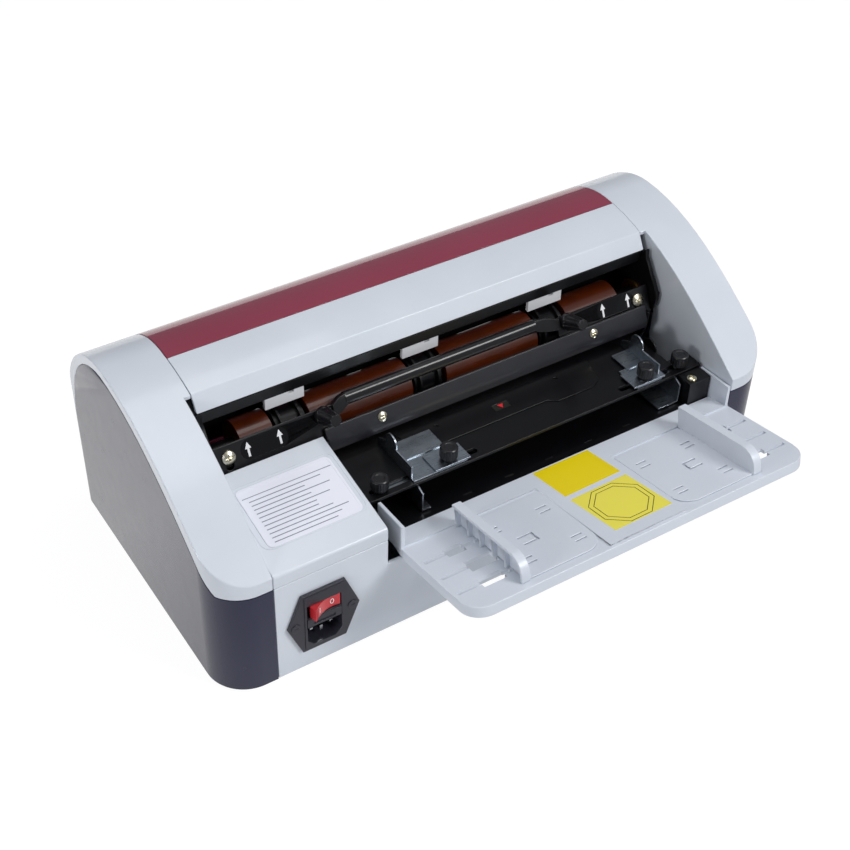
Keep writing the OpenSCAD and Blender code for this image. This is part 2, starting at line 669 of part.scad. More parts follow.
module cross_bar_screws() color("#D8CFA0") at_body() for (x = cross_screw_x) at_bars() translate([x, 0, -bar_face / 2]) {
    rotate([90, 0, 0]) phillips_head(3.4, 1.6);
    translate([0, bar_t + 0.6, 0]) rotate([90, 0, 0]) cylinder(h = bar_t + 0.6, r = 2);
}

// Push bar: two plates joined by a rounded grip, in the leaning frame of the bars
module push_bar() color("#1E1E22") at_body() at_bars(push_step) {
    difference() {
        union() {
            box([-plate_x + 0.6, 0, -9], [push_left_end, bar_t, push_face]);
            box([push_right_end, 0, -9], [plate_x - 0.6, bar_t, push_face]);
        }
        for (side = [-1, 1]) {
            x = side * (plate_x - lug_len / 2);
            // slot that runs on the fixed screw
            translate([x, -1, push_screw_u]) rotate([-90, 0, 0]) cylinder(h = bar_t + 2, r = 2.6);
            translate([x, -1, push_screw_u - push_travel]) rotate([-90, 0, 0]) cylinder(h = bar_t + 2, r = 2.6);
            box([x - 2.6, -1, push_screw_u - push_travel], [x + 2.6, bar_t + 1, push_screw_u]);
        }
        for (x = [lock_left_x, lock_right_x]) translate([x, 3, lock_u]) rotate([90, 0, 0]) cylinder(h = 6, r = 2.5 + run_gap);
    }
    grip();
}

grip_u = 12.6;
grip_y = 0.1;
grip_half = 4.6;

// Rounded grip between the two plates, with ends that slope down to them
module grip() {
    flat = grip_half - grip_r;
    along_x(push_left_end + 9, push_right_end - 18) translate([grip_y, grip_u]) {
        for (u = [-flat, flat]) translate([0, u]) circle(grip_r);
        square([2 * grip_r, 2 * flat], center = true);
    }
    for (end = [[push_left_end, 10], [push_right_end, -19]]) translate([0, bar_t, 0]) rotate([90, 0, 0])
        linear_extrude(bar_t + grip_r - grip_y - 0.4)
            polygon([[end[0] - sign(end[1]), grip_u - 9], [end[0] - sign(end[1]), push_face], [end[0] + end[1] * 0.5, grip_u + grip_half - 1.6],
                [end[0] + end[1], grip_u + grip_half - 0.6], [end[0] + end[1], grip_u - grip_half + 0.6], [end[0] + end[1] * 0.5, grip_u - grip_half - 2.4]]);
}

module push_bar_screws() color("#C9C2AE") at_body() for (side = [-1, 1])
    at_bars(push_step) translate([side * (plate_x - lug_len / 2), 0, push_screw_u]) {
        translate([0, -0.3, 0]) rotate([90, 0, 0]) phillips_head(push_screw_r, 2.4);
        translate([0, -0.3, 0]) rotate([-90, 0, 0]) cylinder(h = bar_t + bar_t + 1.2, r = screw_r);
    }

// Lock knob with a fluted, tapered grip, square to the push bar's plate
module lock_knob(x) at_body() at_bars(push_step) translate([x, -0.3, lock_u]) rotate([90, 0, 0]) {
    difference() {
        rotate_extrude() polygon([[0, 0], [6.2, 0], [6.2, 3.4], [5.6, 5.4], [4.3, lock_len - 1], [3.7, lock_len], [0, lock_len]]);
        for (i = [0:7]) rotate(i * 45) translate([7.6, 0, 3.6]) rotate([0, -7, 0]) cylinder(h = lock_len, r = 2.1, $fn = 16);
    }
    translate([0, 0, -2.6]) cylinder(h = 3.6, r = 2.5);
}

module left_lock_knob() color("#1B1B1F") lock_knob(lock_left_x);
module right_lock_knob() color("#1B1B1F") lock_knob(lock_right_x);

// Leaf springs behind the cross bar that keep the sheet on the rollers
module pressure_springs() color("#B9BEC6") at_body() at_bars() difference() {
    for (x = [[27, 49], [53, 81], [89, 125], [143, 160]]) translate([bed_left, 0, 0]) {
        box([x[0], bar_t, -10], [x[1], bar_t + 0.6, -5]);
        translate([0, bar_t, -5]) rotate([-14, 0, 0]) box([x[0], 0, 0], [x[1], 0.6, 4.4]);
    }
    for (x = cross_screw_x) translate([x, 0, -bar_face / 2]) rotate([-90, 0, 0]) cylinder(h = 5, r = 2.05);
}

module clear_strippers() color("#DCE2EA") at_body() for (x = head_x) difference() {
    box([x - 14, cover_front_y + 2.6, upper_z + 19.2], [x + 14, cover_front_y + 5.2, cover_edge_z - 3.2]);
    box([x + 3, cover_front_y + 1.8, cover_edge_z - 12.6], [x + 7, cover_front_y + 5.8, cover_edge_z - 2.6]);
}

module rear_guide() color("#CFCFE2") at_body() {
    front = roll_y + 17.6;
    box([-plate_x + 0.2, front, nip_z + 9], [plate_x - 0.2, front + 2, nip_z + 25]);
    for (x = [[-plate_x + 19, -plate_x + 47], [head_x[0] + 28, head_x[0] + 56], [head_x[1] - 35, head_x[1] - 14],
        [head_x[1] + 26, head_x[1] + 42], [head_x[2] - 31, head_x[2] - 13], [plate_x - 55, plate_x - 23]])
        box([x[0], front, nip_z + 24], [x[1], front + 2, nip_z + 32]);
}

// ---------- feed table ----------

module upper_bed() color("#0F0F12") at_body() difference() {
    union() {
        box([bed_left, bed_front_y, bed_z - bed_t], [bed_step_x, bed_rear_y, bed_z]);
        // front strip that runs on to the right cap
        box([bed_left, bed_front_y, bed_z - bed_t], [strip_right_x, bed_front_y + strip_d, bed_z]);
        // side flanges, the right one with a round ear
        box([bed_left, bed_front_y + 6, bed_z - 12], [bed_left + 2, fold_y - 8, bed_z]);
        box([bed_step_x - 2, bed_front_y + strip_d - 1, bed_z - 12], [bed_step_x, fold_y - 8, bed_z]);
        along_x(bed_step_x - zinc_t, bed_step_x) translate([fold_y - 14.7, bed_z + 0.5]) circle(6.7);
    }
    // slots of the thumb knobs
    for (run = knob_slots) {
        box([run[0], knob_at - slot_w / 2, bed_z - bed_t - 1], [run[1], knob_at + slot_w / 2, bed_z + 1]);
        for (x = run) translate([x, knob_at, bed_z - bed_t - 1]) cylinder(h = bed_t + 2, r = slot_w / 2);
    }
    // the bed steps down behind the insert's edge
    box([bed_left - 1, insert_rear_y, bed_z - 0.6], [bed_step_x + 1, bed_rear_y + 1, bed_z + 1]);
}

module bed_insert() color("#0B0B0D") at_body() difference() {
    translate([0, 0, bed_z]) linear_extrude(0.8)
        polygon([for (p = [[56, -25], [-109.8, -25], [-103.8, -29.5], [-73.8, -29.5], [-65.8, -25], [-59.8, -2], [48, -2]])
            [(p[0] > 0 ? bed_left : bed_right) + p[0], fold_y + p[1]]]);
    for (x = [bed_left + 76.6, bed_right - 91.5]) translate([x, fold_y - 9, bed_z - 1]) cylinder(h = 3, r = 1.4);
    translate([mark_x, mark_y, bed_z + 0.4]) cube([12.4, 6.4, 2], center = true);
}

module centre_mark() color("#D0282C") at_body() translate([mark_x, mark_y, bed_z + 0.1]) {
    linear_extrude(0.6) square([12, 6], center = true);
    translate([0, 0, 0.6]) linear_extrude(0.3) polygon([[-3, 2.4], [3, 2.4], [0, -2.4]]);
}

module lower_bed() color("#121214") at_body() translate([0, lower_bed_front_y, lower_bed_top]) rotate([-lower_bed_fall, 0, 0]) difference() {
    box([bed_left, 0, -2], [bar_right, 74, 0]);
    for (x = [bed_left + 36:33:bed_right - 31.7]) box([x, 5.5, -0.6], [x + 7, 7.5, 1]);
}

module exit_plates() color("#9BA1A8") at_body() {
    // upper exit on the frame
    box([-plate_x + 0.2, roll_y + 18, nip_z - 3.5], [plate_x - 0.2, body_d - 9.8, nip_z - 2]);
    // lower chute with its legs
    along_x(bed_left - 8, plate_x - 0.2) polygon([[roll_y + 19, lower_z + 10], [roll_y + 19, lower_z + 11.5],
        [body_d - 9, lower_z + 1.6], [body_d - 9, lower_z + 0.1]]);
    for (x = [bed_left - 8, plate_x - 14]) along_x(x, x + 2)
        polygon([[roll_y + 24, wall + 0.1], [roll_y + 24, lower_z + 10.6], [body_d - 18, lower_z + 2], [body_d - 18, wall + 0.1]]);
}

// Zinc guide on the bed: wall with an ear, and the flange that its knob clamps
module side_guide(x, flange_x, slot_x) difference() {
    union() {
        along_x(x, x + zinc_t) union() {
            polygon([[knob_at - 2.5, bed_z + 0.2], [knob_at - 2.5, bed_z + guide_h], [fold_y - 25, bed_z + guide_h],
                [fold_y - 12, bed_z + guide_h - 0.5], [fold_y - 2.5, bed_z + guide_h - 5.5], [fold_y - 2.5, bed_z + 0.2]]);
            translate([fold_y - 18.5, bed_z + guide_h + 2]) circle(6.5);
            translate([fold_y - 25, bed_z + 2]) square([13, guide_h]);
        }
        box([min(x, flange_x), bed_front_y + 1, bed_z + 0.1], [max(x + zinc_t, flange_x), fold_y - 26, bed_z + 0.1 + zinc_t]);
        box([min(x, flange_x + 6), fold_y - 28, bed_z + 0.9], [max(x + zinc_t, flange_x - 6), fold_y - 10, bed_z + 0.9 + zinc_t]);
    }
    translate([slot_x, knob_at, bed_z - 1]) cylinder(h = 5, r = screw_r + run_gap);
}

// Square clamp plate under an inner knob
module clamp_plate(x) difference() {
    box([x - 13.6, bed_front_y + 1, bed_z + 0.1 + zinc_t], [x + 13.6, bed_front_y + 17, bed_z + 0.1 + 2 * zinc_t]);
    translate([x, knob_at, bed_z]) cylinder(h = 5, r = screw_r + run_gap);
}

module left_side_guide() color("#8A939B") at_body() {
    side_guide(left_wall_x, left_inner_x + 11, left_inner_x);
    clamp_plate(left_inner_x);
}

module right_side_guide() color("#8A939B") at_body() {
    side_guide(right_wall_x, right_inner_x - 11, right_inner_x);
    clamp_plate(right_inner_x);
}

// Guide under the bed: wall, foot and the tab that its knob clamps
module lower_guide(x, knob_x, foot_dir) difference() {
    union() {
        along_x(x, x + zinc_t) polygon([[bed_front_y - 6, lower_bed_top + 0.1], [bed_front_y - 6, bed_z - bed_t - 3],
            [bed_front_y, bed_z - bed_t - 0.2], [fold_y - 18, bed_z - bed_t - 0.2], [fold_y - 18, lower_bed_top - 2.2]]);
        box([min(x, knob_x - 5), knob_at - 5.5, bed_z - bed_t - 0.2 - zinc_t], [max(x + zinc_t, knob_x + 5), knob_at + 6, bed_z - bed_t - 0.2]);
        box([min(x, x + foot_dir), bed_front_y - 6, lower_bed_top + 0.1], [max(x + zinc_t, x + foot_dir), fold_y - 20, lower_bed_top + 0.1 + zinc_t]);
    }
    translate([knob_x, knob_at, bed_z - 10]) cylinder(h = 10, r = screw_r + run_gap);
}

module left_lower_guide() color("#8A939B") at_body() lower_guide(left_wall_x + 2, left_outer_x, 7);
module right_lower_guide() color("#8A939B") at_body() lower_guide(right_outer_x - 8.4, right_outer_x, -17);

// Thumb knob standing at height z, with its screw reaching down
module thumb_knob(x, z, reach) at_body() translate([x, knob_at, z]) {
    difference() {
        rotate_extrude() polygon([[0, 0.1], [4.5, 0.1], [4.8, 1.6], [knob_d / 2 - 0.5, 2], [knob_d / 2, 2.6], [knob_d / 2, knob_h - 0.8],
            [knob_d / 2 - 0.8, knob_h], [knob_d / 2 - 2.6, knob_h], [knob_d / 2 - 3.2, knob_h - 0.6], [0, knob_h - 0.6]]);
        for (i = [0:17]) rotate(i * 20) translate([knob_d / 2 + 0.35, 0, 2.4]) cylinder(h = knob_h - 3.4, r = 0.7, $fn = 16);
    }
    translate([0, 0, -reach]) cylinder(h = reach + 1, r = screw_r);
}

module left_inner_knob() color("#232329") thumb_knob(left_inner_x, bed_z + 0.1 + 2 * zinc_t, bed_t + 2 * zinc_t);
module right_inner_knob() color("#232329") thumb_knob(right_inner_x, bed_z + 0.1 + 2 * zinc_t, bed_t + 2 * zinc_t);
module left_outer_knob() color("#232329") thumb_knob(left_outer_x, bed_z, bed_t + zinc_t + 2);
module right_outer_knob() color("#232329") thumb_knob(right_outer_x, bed_z, bed_t + zinc_t + 2);

// ---------- feed and cutting train ----------

// Roller sleeves between the cutter heads
module sleeves(z, r, left, right) {
    edges = concat([left], [for (x = head_x) each [x - head_w / 2, x + head_w / 2]], [right]);
    for (i = [0:3]) if (edges[2 * i] < edges[2 * i + 1]) difference() {
        rod(edges[2 * i], edges[2 * i + 1], roll_y, z, r);
        rod(edges[2 * i] - 1, edges[2 * i + 1] + 1, roll_y, z, shaft_r);
    }
}

// Head with one disc blade at each end
module head(x, z, r, blade_r, shift) {
    rod(x - head_w / 2 + 3, x + head_w / 2 - 3, roll_y, z, r);
    for (end = [-1, 1]) rod(x + end * 7 + shift - blade_t / 2, x + end * 7 + shift + blade_t / 2, roll_y, z, blade_r);
}

// Shaft with its drive gear
module shaft_with_gear(z, a) {
    rod(gear_x - gear_w - 1, plate_x + plate_t + 1, roll_y, z, shaft_r);
    difference() {
        gear_at(gear_x - gear_w, roll_y, z, shaft_teeth, shaft_r - eps, a);
    }
}

module upper_shaft() color("#3A3A3E") at_body() {
    shaft_with_gear(upper_z, 0);
    for (x = head_x) head(x, upper_z, 14, upper_blade_r, 0);
}

module upper_rollers() color("#7A2E05") at_body() sleeves(upper_z, roller_r, -roller_half, roller_half);

module middle_shaft() color("#4A4A4E") at_body() {
    shaft_with_gear(middle_z, 180 / shaft_teeth);
    for (x = head_x) head(x, middle_z, 12, lower_blade_r, blade_t + 0.1);
    sleeves(middle_z, roller_r, -roller_half, roller_half);
}

module lower_shaft() color("#4A4A4E") at_body() {
    shaft_with_gear(lower_z, 0);
    sleeves(lower_z, roller_r, head_x[0] + head_w / 2 + 8, roller_half);
}

module shaft_bushes() color("#B08D4A") at_body() for (side = [-1, 1], z = [upper_z, middle_z, lower_z]) difference() {
    union() {
        rod(side * (plate_x + plate_t / 2) - plate_t / 2 - 1.5, side * (plate_x + plate_t / 2) + plate_t / 2 + 1.5, roll_y, z, bush_r);
        rod(side * (plate_x - 0.8) - 0.8, side * (plate_x - 0.8) + 0.8, roll_y, z, bush_r + 2);
    }
    rod(side * plate_x - 8, side * plate_x + 8, roll_y, z, shaft_r + run_gap);
}

module idler_gear() color("#D8D8D0") at_body()
    gear_at(gear_x - gear_w, idler_y, idler_z, idler_teeth, idler_pin_r + run_gap, mesh_turn(shaft_teeth, idler_teeth, idler_angle, 0));

// Turn of a gear so that it meshes with a neighbour whose tooth stands at a, along the line at angle line
function mesh_turn(n1, n2, line, a) = let (phase = ((line - a) * n1 / 360) % 1) line + 180 + (0.5 + phase) * 360 / n2;

module motor() color("#3C3F45") at_body() {
    rod(-plate_x + 0.2, -plate_x + motor_len, motor_y, motor_z, motor_d / 2);
    rod(-plate_x + motor_len - 1, -plate_x + motor_len + 4, motor_y, motor_z, 8);
    rod(-plate_x - plate_t - 0.3, -plate_x + 1, motor_y, motor_z, 8.9);
    // saddle on the base
    box([-plate_x + 20, motor_y - 18, wall + 0.1], [-plate_x + 44, motor_y + 18, motor_z - motor_d / 2 + 6]);
}

module motor_pinion() color("#B0B4B8") at_body() {
    gear_at(gear_x - gear_w, motor_y, motor_z, pinion_teeth, 2.4,
        mesh_turn(idler_teeth, pinion_teeth, motor_angle, mesh_turn(shaft_teeth, idler_teeth, idler_angle, 0)));
    rod(gear_x - gear_w, -plate_x - plate_t - 0.4, motor_y, motor_z, 2.5);
}

// ---------- power and control ----------

module control_board() color("#1F5A3A") at_body() {
    left = -cap_x + 13;
    right = deck_x - 7;
    rear = deck_d - 6.4;
    box([left, inlet_depth + 11, 9], [right, rear, 10.6]);
    for (x = [left + 3, right - 3], y = [inlet_depth + 14, rear - 3]) translate([x, y, wall]) cylinder(h = 6.1, r = 2.5);
    box([left + 4, rear - 24, 10.6], [left + 24, rear - 6, 28]);
    box([right - 28, inlet_depth + 17, 10.6], [right - 12, rear - 14, 22]);
    for (i = [0:2]) translate([right - 29 + 9 * i, rear - 7, 10.6]) cylinder(h = 14, r = 4);
}

module wiring_loom() color("#3B2F2A") at_body() for (i = [0:2]) {
    x = inlet_at - 6 + 6 * i;
    z = inlet_z - 10 + 4 * i;
    translate([x, inlet_depth + 0.2, z]) rotate([-90, 0, 0]) cylinder(h = 9.8 + 2 * i, r = 1.3);
    translate([x, inlet_depth + 10 + 2 * i, 10.7]) cylinder(h = z - 9.4, r = 1.3);
}

// Front view of the inlet's hexagonal flange
module flange_view() polygon([for (p = [[25.3, 0], [15.4, 25], [-15.4, 25], [-25.3, 0], [-15.4, -25], [15.4, -25]]) p]);

// Front view of the mains socket, with chamfers towards the earth pin
module socket_view() polygon([[-12.1, 8.15], [12.1, 8.15], [12.1, -3.4], [7.4, -8.15], [-7.4, -8.15], [-12.1, -3.4]]);

socket_z = -12.6;
fuse_z = 0;
rocker_z = 9.9;
rocker_w = 24;
rocker_h = 10.6;

// Frame of the inlet: x and y across its face, z out of it
module at_inlet() at_body() translate([inlet_at, 0, inlet_z]) rotate([90, 0, 0]) children();

module inlet_housing() color("#34343E") at_inlet() difference() {
    union() {
        linear_extrude(2.2) flange_view();
        translate([0, 0, 2.2 - eps]) linear_extrude(0.5) square([27.6, 46], center = true);
        translate([0, -1, -inlet_depth]) linear_extrude(inlet_depth + 0.5) square([27, 43.4], center = true);
        // screw heads with their slots
        for (side = [-1, 1]) translate([side * inlet_pitch / 2, 0, 2.2]) difference() {
            cylinder(h = 0.6, r = 3.3);
            translate([-1.5, -0.35, 0.2]) cube([3, 0.7, 1]);
        }
    }
    translate([0, socket_z, -16]) linear_extrude(30) socket_view();
    translate([0, fuse_z - 0.2, -24]) linear_extrude(40) square([24.6, 8.2], center = true);
    translate([0, rocker_z, -10]) linear_extrude(40) square([rocker_w, rocker_h], center = true);
}

module inlet_pins() color("#C8CCD2") at_inlet() for (p = [[-7, 0], [7, 0], [0, -4]])
    translate([p[0], socket_z + 2 + p[1], -16]) linear_extrude(13.5) square([2, 4], center = true);

module fuse_drawer() color("#3A3A46") at_inlet() difference() {
    translate([0, fuse_z - 0.2, -22]) linear_extrude(24.9) square([24, 7.6], center = true);
    translate([0, fuse_z - 1.4, 2]) linear_extrude(2) square([15, 2.2], center = true);
}

module rocker() color("#D03A40") at_inlet() translate([0, rocker_z, 0]) rotate([90, 0, 0]) rotate([0, 0, -rocker_tilt]) {
    translate([0, 0, -(rocker_h - 0.7) / 2]) linear_extrude(rocker_h - 0.7)
        polygon([[-10.5, 5.2], [-7, 3.6], [-3.5, 2.7], [0, 2.4], [3.5, 2.7], [7, 3.6], [10.5, 5.2], [10.6, 0.4], [7.5, -5], [-7.5, -5], [-10.6, 0.4]]);
    // trunnions on the tilt axis
    cylinder(h = rocker_h - 0.1, r = 1.5, center = true);
}

// ---------- tray ----------

// Plan of the tray with round front corners, moved inwards by d
module tray_plan(d) {
    r = 15;
    w = tray_w / 2;
    for (side = [-1, 1]) translate([side * (w - r), -tray_len + r]) circle(r - d);
    translate([-w + r, -tray_len + d]) square([tray_w - 2 * r, tray_len - d]);
    translate([-w + d, -tray_len + r]) square([tray_w - 2 * d, tray_len - r]);
}

// Cut through the tray floor on one side, from near to far beside the middle and half as wide each way about a row
module tray_cut(side, near, far, row, half)
    box([min(side * near, side * far), -row - half, -10], [max(side * near, side * far), -row + half, 0.5]);

module tray() color("#CDD3DF") at_body() difference() {
    union() {
        at_tray() {
            difference() {
                translate([0, 0, -rim_h]) linear_extrude(rim_h) tray_plan(0);
                translate([0, 0, -rim_h - 1]) linear_extrude(rim_h + 1 - floor_t) tray_plan(2.5);
            }
            // shelf and middle strip
            box([-tray_w / 2, -0.2, -floor_t], [tray_w / 2, shelf_d, step_h]);
            box([-strip_half, -tray_len + 2.5, -0.5], [strip_half, 1, step_h]);
            // post of the pinion
            translate([0, -rack_row, rack_top - rack_t - 0.4]) cylinder(h = rack_t + 2, r = post_r);
        }
        // fins beside the shelf
        for (x = [tray_x - tray_w / 2 + fin_in, tray_x + tray_w / 2 - fin_in - fin_t]) along_x(x, x + fin_t)
            polygon([[0, tray_floor_z - rim_h * 0.9], [0, tray_floor_z + fin_h], [bed_front_y - 1, tray_floor_z + fin_h - 2],
                [bed_front_y - 1, lower_bed_top + 1.5], [shelf_d + 0.2, lower_bed_top + 0.4], [shelf_d - 0.4, lower_bed_top - 1]]);
        // rib that rests on the front wall, and lugs behind it
        box([tray_x - tray_w / 2 + 4, 1, base_side_h + 0.2], [tray_x + tray_w / 2 - 4, 3.4, tray_floor_z - floor_t]);
        for (x = [tray_x - lug_x, tray_x + lug_x]) {
            box([x - 9, 2.5, base_side_h + 0.2], [x + 9, 9.4, tray_floor_z - floor_t - 1]);
            box([x - 9, 6.8, base_side_h - 16], [x + 9, 9.4, tray_floor_z - floor_t - 1]);
        }
    }
    // slots of the fences and their assembly windows
    at_tray() for (side = [-1, 1]) {
        for (row = slot_rows) tray_cut(side, strip_half + 0.5, tray_w / 2 - 3.4, row, tray_slot_w / 2);
        for (win = [[0, 32.2, 19.2, 4.3], [1, 42.2, 22.7, 5.4], [2, 36.5, 19.8, 4.3]])
            tray_cut(side, tray_w / 2 - win[1], tray_w / 2 - win[2], slot_rows[win[0]], win[3]);
    }
}

// Side view of a fence with its round front corner, moved inwards by d
module fence_view(d) {
    r = 12;
    front = -fence_len - 0.5;
    polygon(concat([[-0.3, slide_gap], [-0.3, fence_h - d]],
        [for (a = [90:7.5:180]) [front + r + (r - d) * cos(a), fence_h - r + (r - d) * sin(a)]], [[front + d, slide_gap]]));
}

// Left fence with its base plate, hooks and rack; the right one is turned half round about the pinion
module fence_form(turned) {
    f = -fence_face;
    flip = turned ? -1 : 1;
    // wall, top flange and front end
    along_x(f - fence_wall, f) fence_view(0);
    difference() {
        along_x(f - fence_top_w, f) fence_view(0);
        along_x(f - fence_top_w - 1, f - fence_wall) fence_view(2.2);
    }
    for (i = [0:4]) box([f - fence_top_w + 1, -1 - 13.4 * i - 2, slide_gap], [f - fence_wall + 0.5, -1 - 13.4 * i, fence_h - 1]);
    // base plate with a round front corner, hook windows and hook slits
    difference() {
        translate([0, 0, slide_gap]) linear_extrude(step_h - slide_gap) {
            r = 14;
            translate([f + fence_plate_w - r, -74 + r]) circle(r);
            translate([f - 1, -74]) square([fence_plate_w + 1 - r, 70.4]);
            translate([f - 1, -74 + r]) square([fence_plate_w + 1, 70.4 - r]);
        }
        for (row = [slot_rows[0], slot_rows[2]], x = [f + 6, f + fence_plate_w - 14], k = [-1, 1])
            box([x, -row + k * 2.6 - 0.6, -1], [x + 8, -row + k * 2.6 + 0.6, 3]);
        box([f + 17, -rack_row - 4.5, -1], [f + 28, -rack_row - 3.1, 3]);
        box([f + 17, -rack_row + 3.1, -1], [f + 28, -rack_row + 4.5, 3]);
        box([f + 26.6, -rack_row - 4.5, -1], [f + 28, -rack_row + 4.5, 3]);
    }
    // hooks through the slots
    for (row = [slot_rows[0], slot_rows[2]], x = [f - 5, f + fence_plate_w - 13]) {
        box([x, -row - 1, rack_top], [x + 5, -row + 1, slide_gap + 0.5]);
        box([x, -row - 2.4, rack_top - 1.4], [x + 5, -row + 2.4, rack_top]);
    }
    // rack and the neck that carries it
    box([f + 17.6, -rack_row - 1, rack_top], [f + 24, -rack_row + 1, slide_gap + 0.5]);
    translate([0, -rack_row, rack_top - rack_t]) {
        box([f + 17.6, min(-1, flip * -(rack_r + 4.6)), 0], [f + 24, max(1, flip * -(rack_r + 4.6)), rack_t]);
        mirror([0, turned ? 1 : 0, 0]) rack(f + 18, fence_travel + 9);
    }
}

// Straight rack along X whose teeth point to the pinion at the origin
module rack(x0, x1) linear_extrude(rack_t) {
    pitch = PI * gear_module;
    half = pitch / 4 - 0.08;
    translate([x0, -rack_r - 4.6]) square([x1 - x0, 3.4]);
    for (i = [-9:13]) if ((i + 0.5) * pitch + 1.5 < x1 && (i + 0.5) * pitch - 1.5 > x0)
        translate([(i + 0.5) * pitch, -rack_r]) polygon([[-half - 0.455, -1.25], [half + 0.455, -1.25], [half - 0.35, 0.95], [-half + 0.35, 0.95]]);
}

module left_fence() color("#D3D9E3") at_body() at_tray() fence_form(false);
module right_fence() color("#D3D9E3") at_body() at_tray() mirror([1, 0, 0]) fence_form(true);

module fence_pinion() color("#2C4F8A") at_body() at_tray() translate([0, -rack_row, rack_top - rack_t])
    spur(rack_teeth, rack_t, post_r + run_gap, -90);

base_shell();
rubber_feet();
left_end_cap();
right_end_cap();
left_side_panel();
right_side_panel();
top_front_cover();
red_window();
cover_hinge_pins();
rear_cover();
deck_cover();
deck_label();
left_frame_plate();
right_frame_plate();
tie_rods();
lip_plate();
left_bed_bracket();
right_end_bracket();
end_block();
end_block_screw();
cross_bar();
cross_bar_screws();
push_bar();
push_bar_screws();
left_lock_knob();
right_lock_knob();
pressure_springs();
clear_strippers();
rear_guide();
upper_bed();
bed_insert();
centre_mark();
lower_bed();
exit_plates();
left_side_guide();
right_side_guide();
left_lower_guide();
right_lower_guide();
left_inner_knob();
right_inner_knob();
left_outer_knob();
right_outer_knob();
upper_shaft();
upper_rollers();
middle_shaft();
lower_shaft();
shaft_bushes();
idler_gear();
motor();
motor_pinion();
control_board();
wiring_loom();
inlet_housing();
inlet_pins();
fuse_drawer();
rocker();
tray();
left_fence();
right_fence();
fence_pinion();
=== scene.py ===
"""Looks of a motorised desktop card and paper cutter, dressed around its CAD frame.

Every class below is one sub-assembly: its sizes are dataclass fields, and its methods
build the meshes and dress the CAD nodes that belong to it. Lengths are in metres, but
outlines, places on a seat and fields whose names end in _mm are in millimetres.
"""

from __future__ import annotations

import json
import logging
import math
from collections.abc import Callable, Iterable, Sequence
from dataclasses import dataclass, replace
from enum import Enum

import bmesh
import bpy
from mathutils import Matrix, Vector
from mathutils.bvhtree import BVHTree

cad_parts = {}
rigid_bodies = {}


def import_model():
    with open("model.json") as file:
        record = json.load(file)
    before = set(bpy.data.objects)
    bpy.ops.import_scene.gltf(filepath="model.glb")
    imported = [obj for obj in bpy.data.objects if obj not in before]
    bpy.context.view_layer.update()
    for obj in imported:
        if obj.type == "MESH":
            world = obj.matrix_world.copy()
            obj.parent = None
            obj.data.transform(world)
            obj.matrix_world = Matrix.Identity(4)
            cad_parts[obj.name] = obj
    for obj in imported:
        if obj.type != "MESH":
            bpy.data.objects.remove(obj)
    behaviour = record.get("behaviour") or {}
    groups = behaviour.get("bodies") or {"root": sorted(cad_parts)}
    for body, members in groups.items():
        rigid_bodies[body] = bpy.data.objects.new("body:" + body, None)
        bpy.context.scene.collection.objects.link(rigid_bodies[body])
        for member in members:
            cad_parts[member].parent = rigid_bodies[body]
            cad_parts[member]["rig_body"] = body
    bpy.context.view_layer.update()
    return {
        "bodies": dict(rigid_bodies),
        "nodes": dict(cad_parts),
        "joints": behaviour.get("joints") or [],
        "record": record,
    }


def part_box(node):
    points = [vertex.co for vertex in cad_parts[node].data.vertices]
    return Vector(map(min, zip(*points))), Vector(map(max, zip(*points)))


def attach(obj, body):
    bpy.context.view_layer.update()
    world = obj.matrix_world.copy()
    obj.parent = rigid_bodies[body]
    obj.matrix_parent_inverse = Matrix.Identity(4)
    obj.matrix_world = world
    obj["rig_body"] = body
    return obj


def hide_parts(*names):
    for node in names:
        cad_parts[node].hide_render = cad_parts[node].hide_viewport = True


LOG = logging.getLogger("cutter")
MM = 0.001

# Shares of the asked radius that are tried in turn, how many radii a rounded copy may lie off
# its node, the distance that welds vertices, and the angle under which two faces count as one.
RADIUS_SHARES = (1.0, 0.5, 0.25, 0.0)
STRAY_RADII = 1.2
WELD = 0.002 * MM
FLAT_ANGLE = math.radians(0.4)

Tree = bpy.types.NodeTree
Node = bpy.types.Node
Socket = bpy.types.NodeSocket
Solid = bmesh.types.BMesh
# A spot is two lengths on a seat, a span is a low and a high one, and a place is three.
Spot = tuple[float, float]
Span = tuple[float, float]
Place = tuple[float, float, float]
Colour = tuple[float, float, float, float]
Outline = Sequence[Spot]

WHITE: Colour = (1.0, 1.0, 1.0, 1.0)


@dataclass(frozen=True)
class Seat:
    """A flat place on the machine, with its own right, up and out directions."""

    origin: Vector
    right: Vector
    up: Vector

    @property
    def out(self) -> Vector:
        """Returns the direction that the face looks in."""
        return self.right.cross(self.up)

    def at(self, x: float, y: float, z: float = 0.0) -> Vector:
        """Returns the model's point for millimetres to the right, up and out."""
        return self.origin + (self.right * x + self.up * y + self.out * z) * MM

    def free(self) -> Seat:
        """Returns the same directions at the model's origin."""
        return Seat(Vector(), self.right, self.up)


def seat(x: float, y: float, z: float, tilt: float = 0.0, turn: float = 0.0) -> Seat:
    """Makes a seat on the casing.

    Args:
        x: millimetres to the right of the casing's middle.
        y: millimetres behind the casing's front face.
        z: millimetres above the base's underside.
        tilt: degrees that the face leans back from level (0) to upright (90).
        turn: degrees that the face turns about the upright axis.

    Returns:
        The seat, with its origin in the model's frame.
    """
    low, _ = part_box("base_shell")
    lean = Matrix.Rotation(math.radians(turn), 3, "Z")
    lean @= Matrix.Rotation(math.radians(tilt), 3, "X")
    origin = Vector((x * MM, float(low[1]) + y * MM, float(low[2]) + z * MM))
    return Seat(origin, lean @ Vector((1, 0, 0)), lean @ Vector((0, 1, 0)))


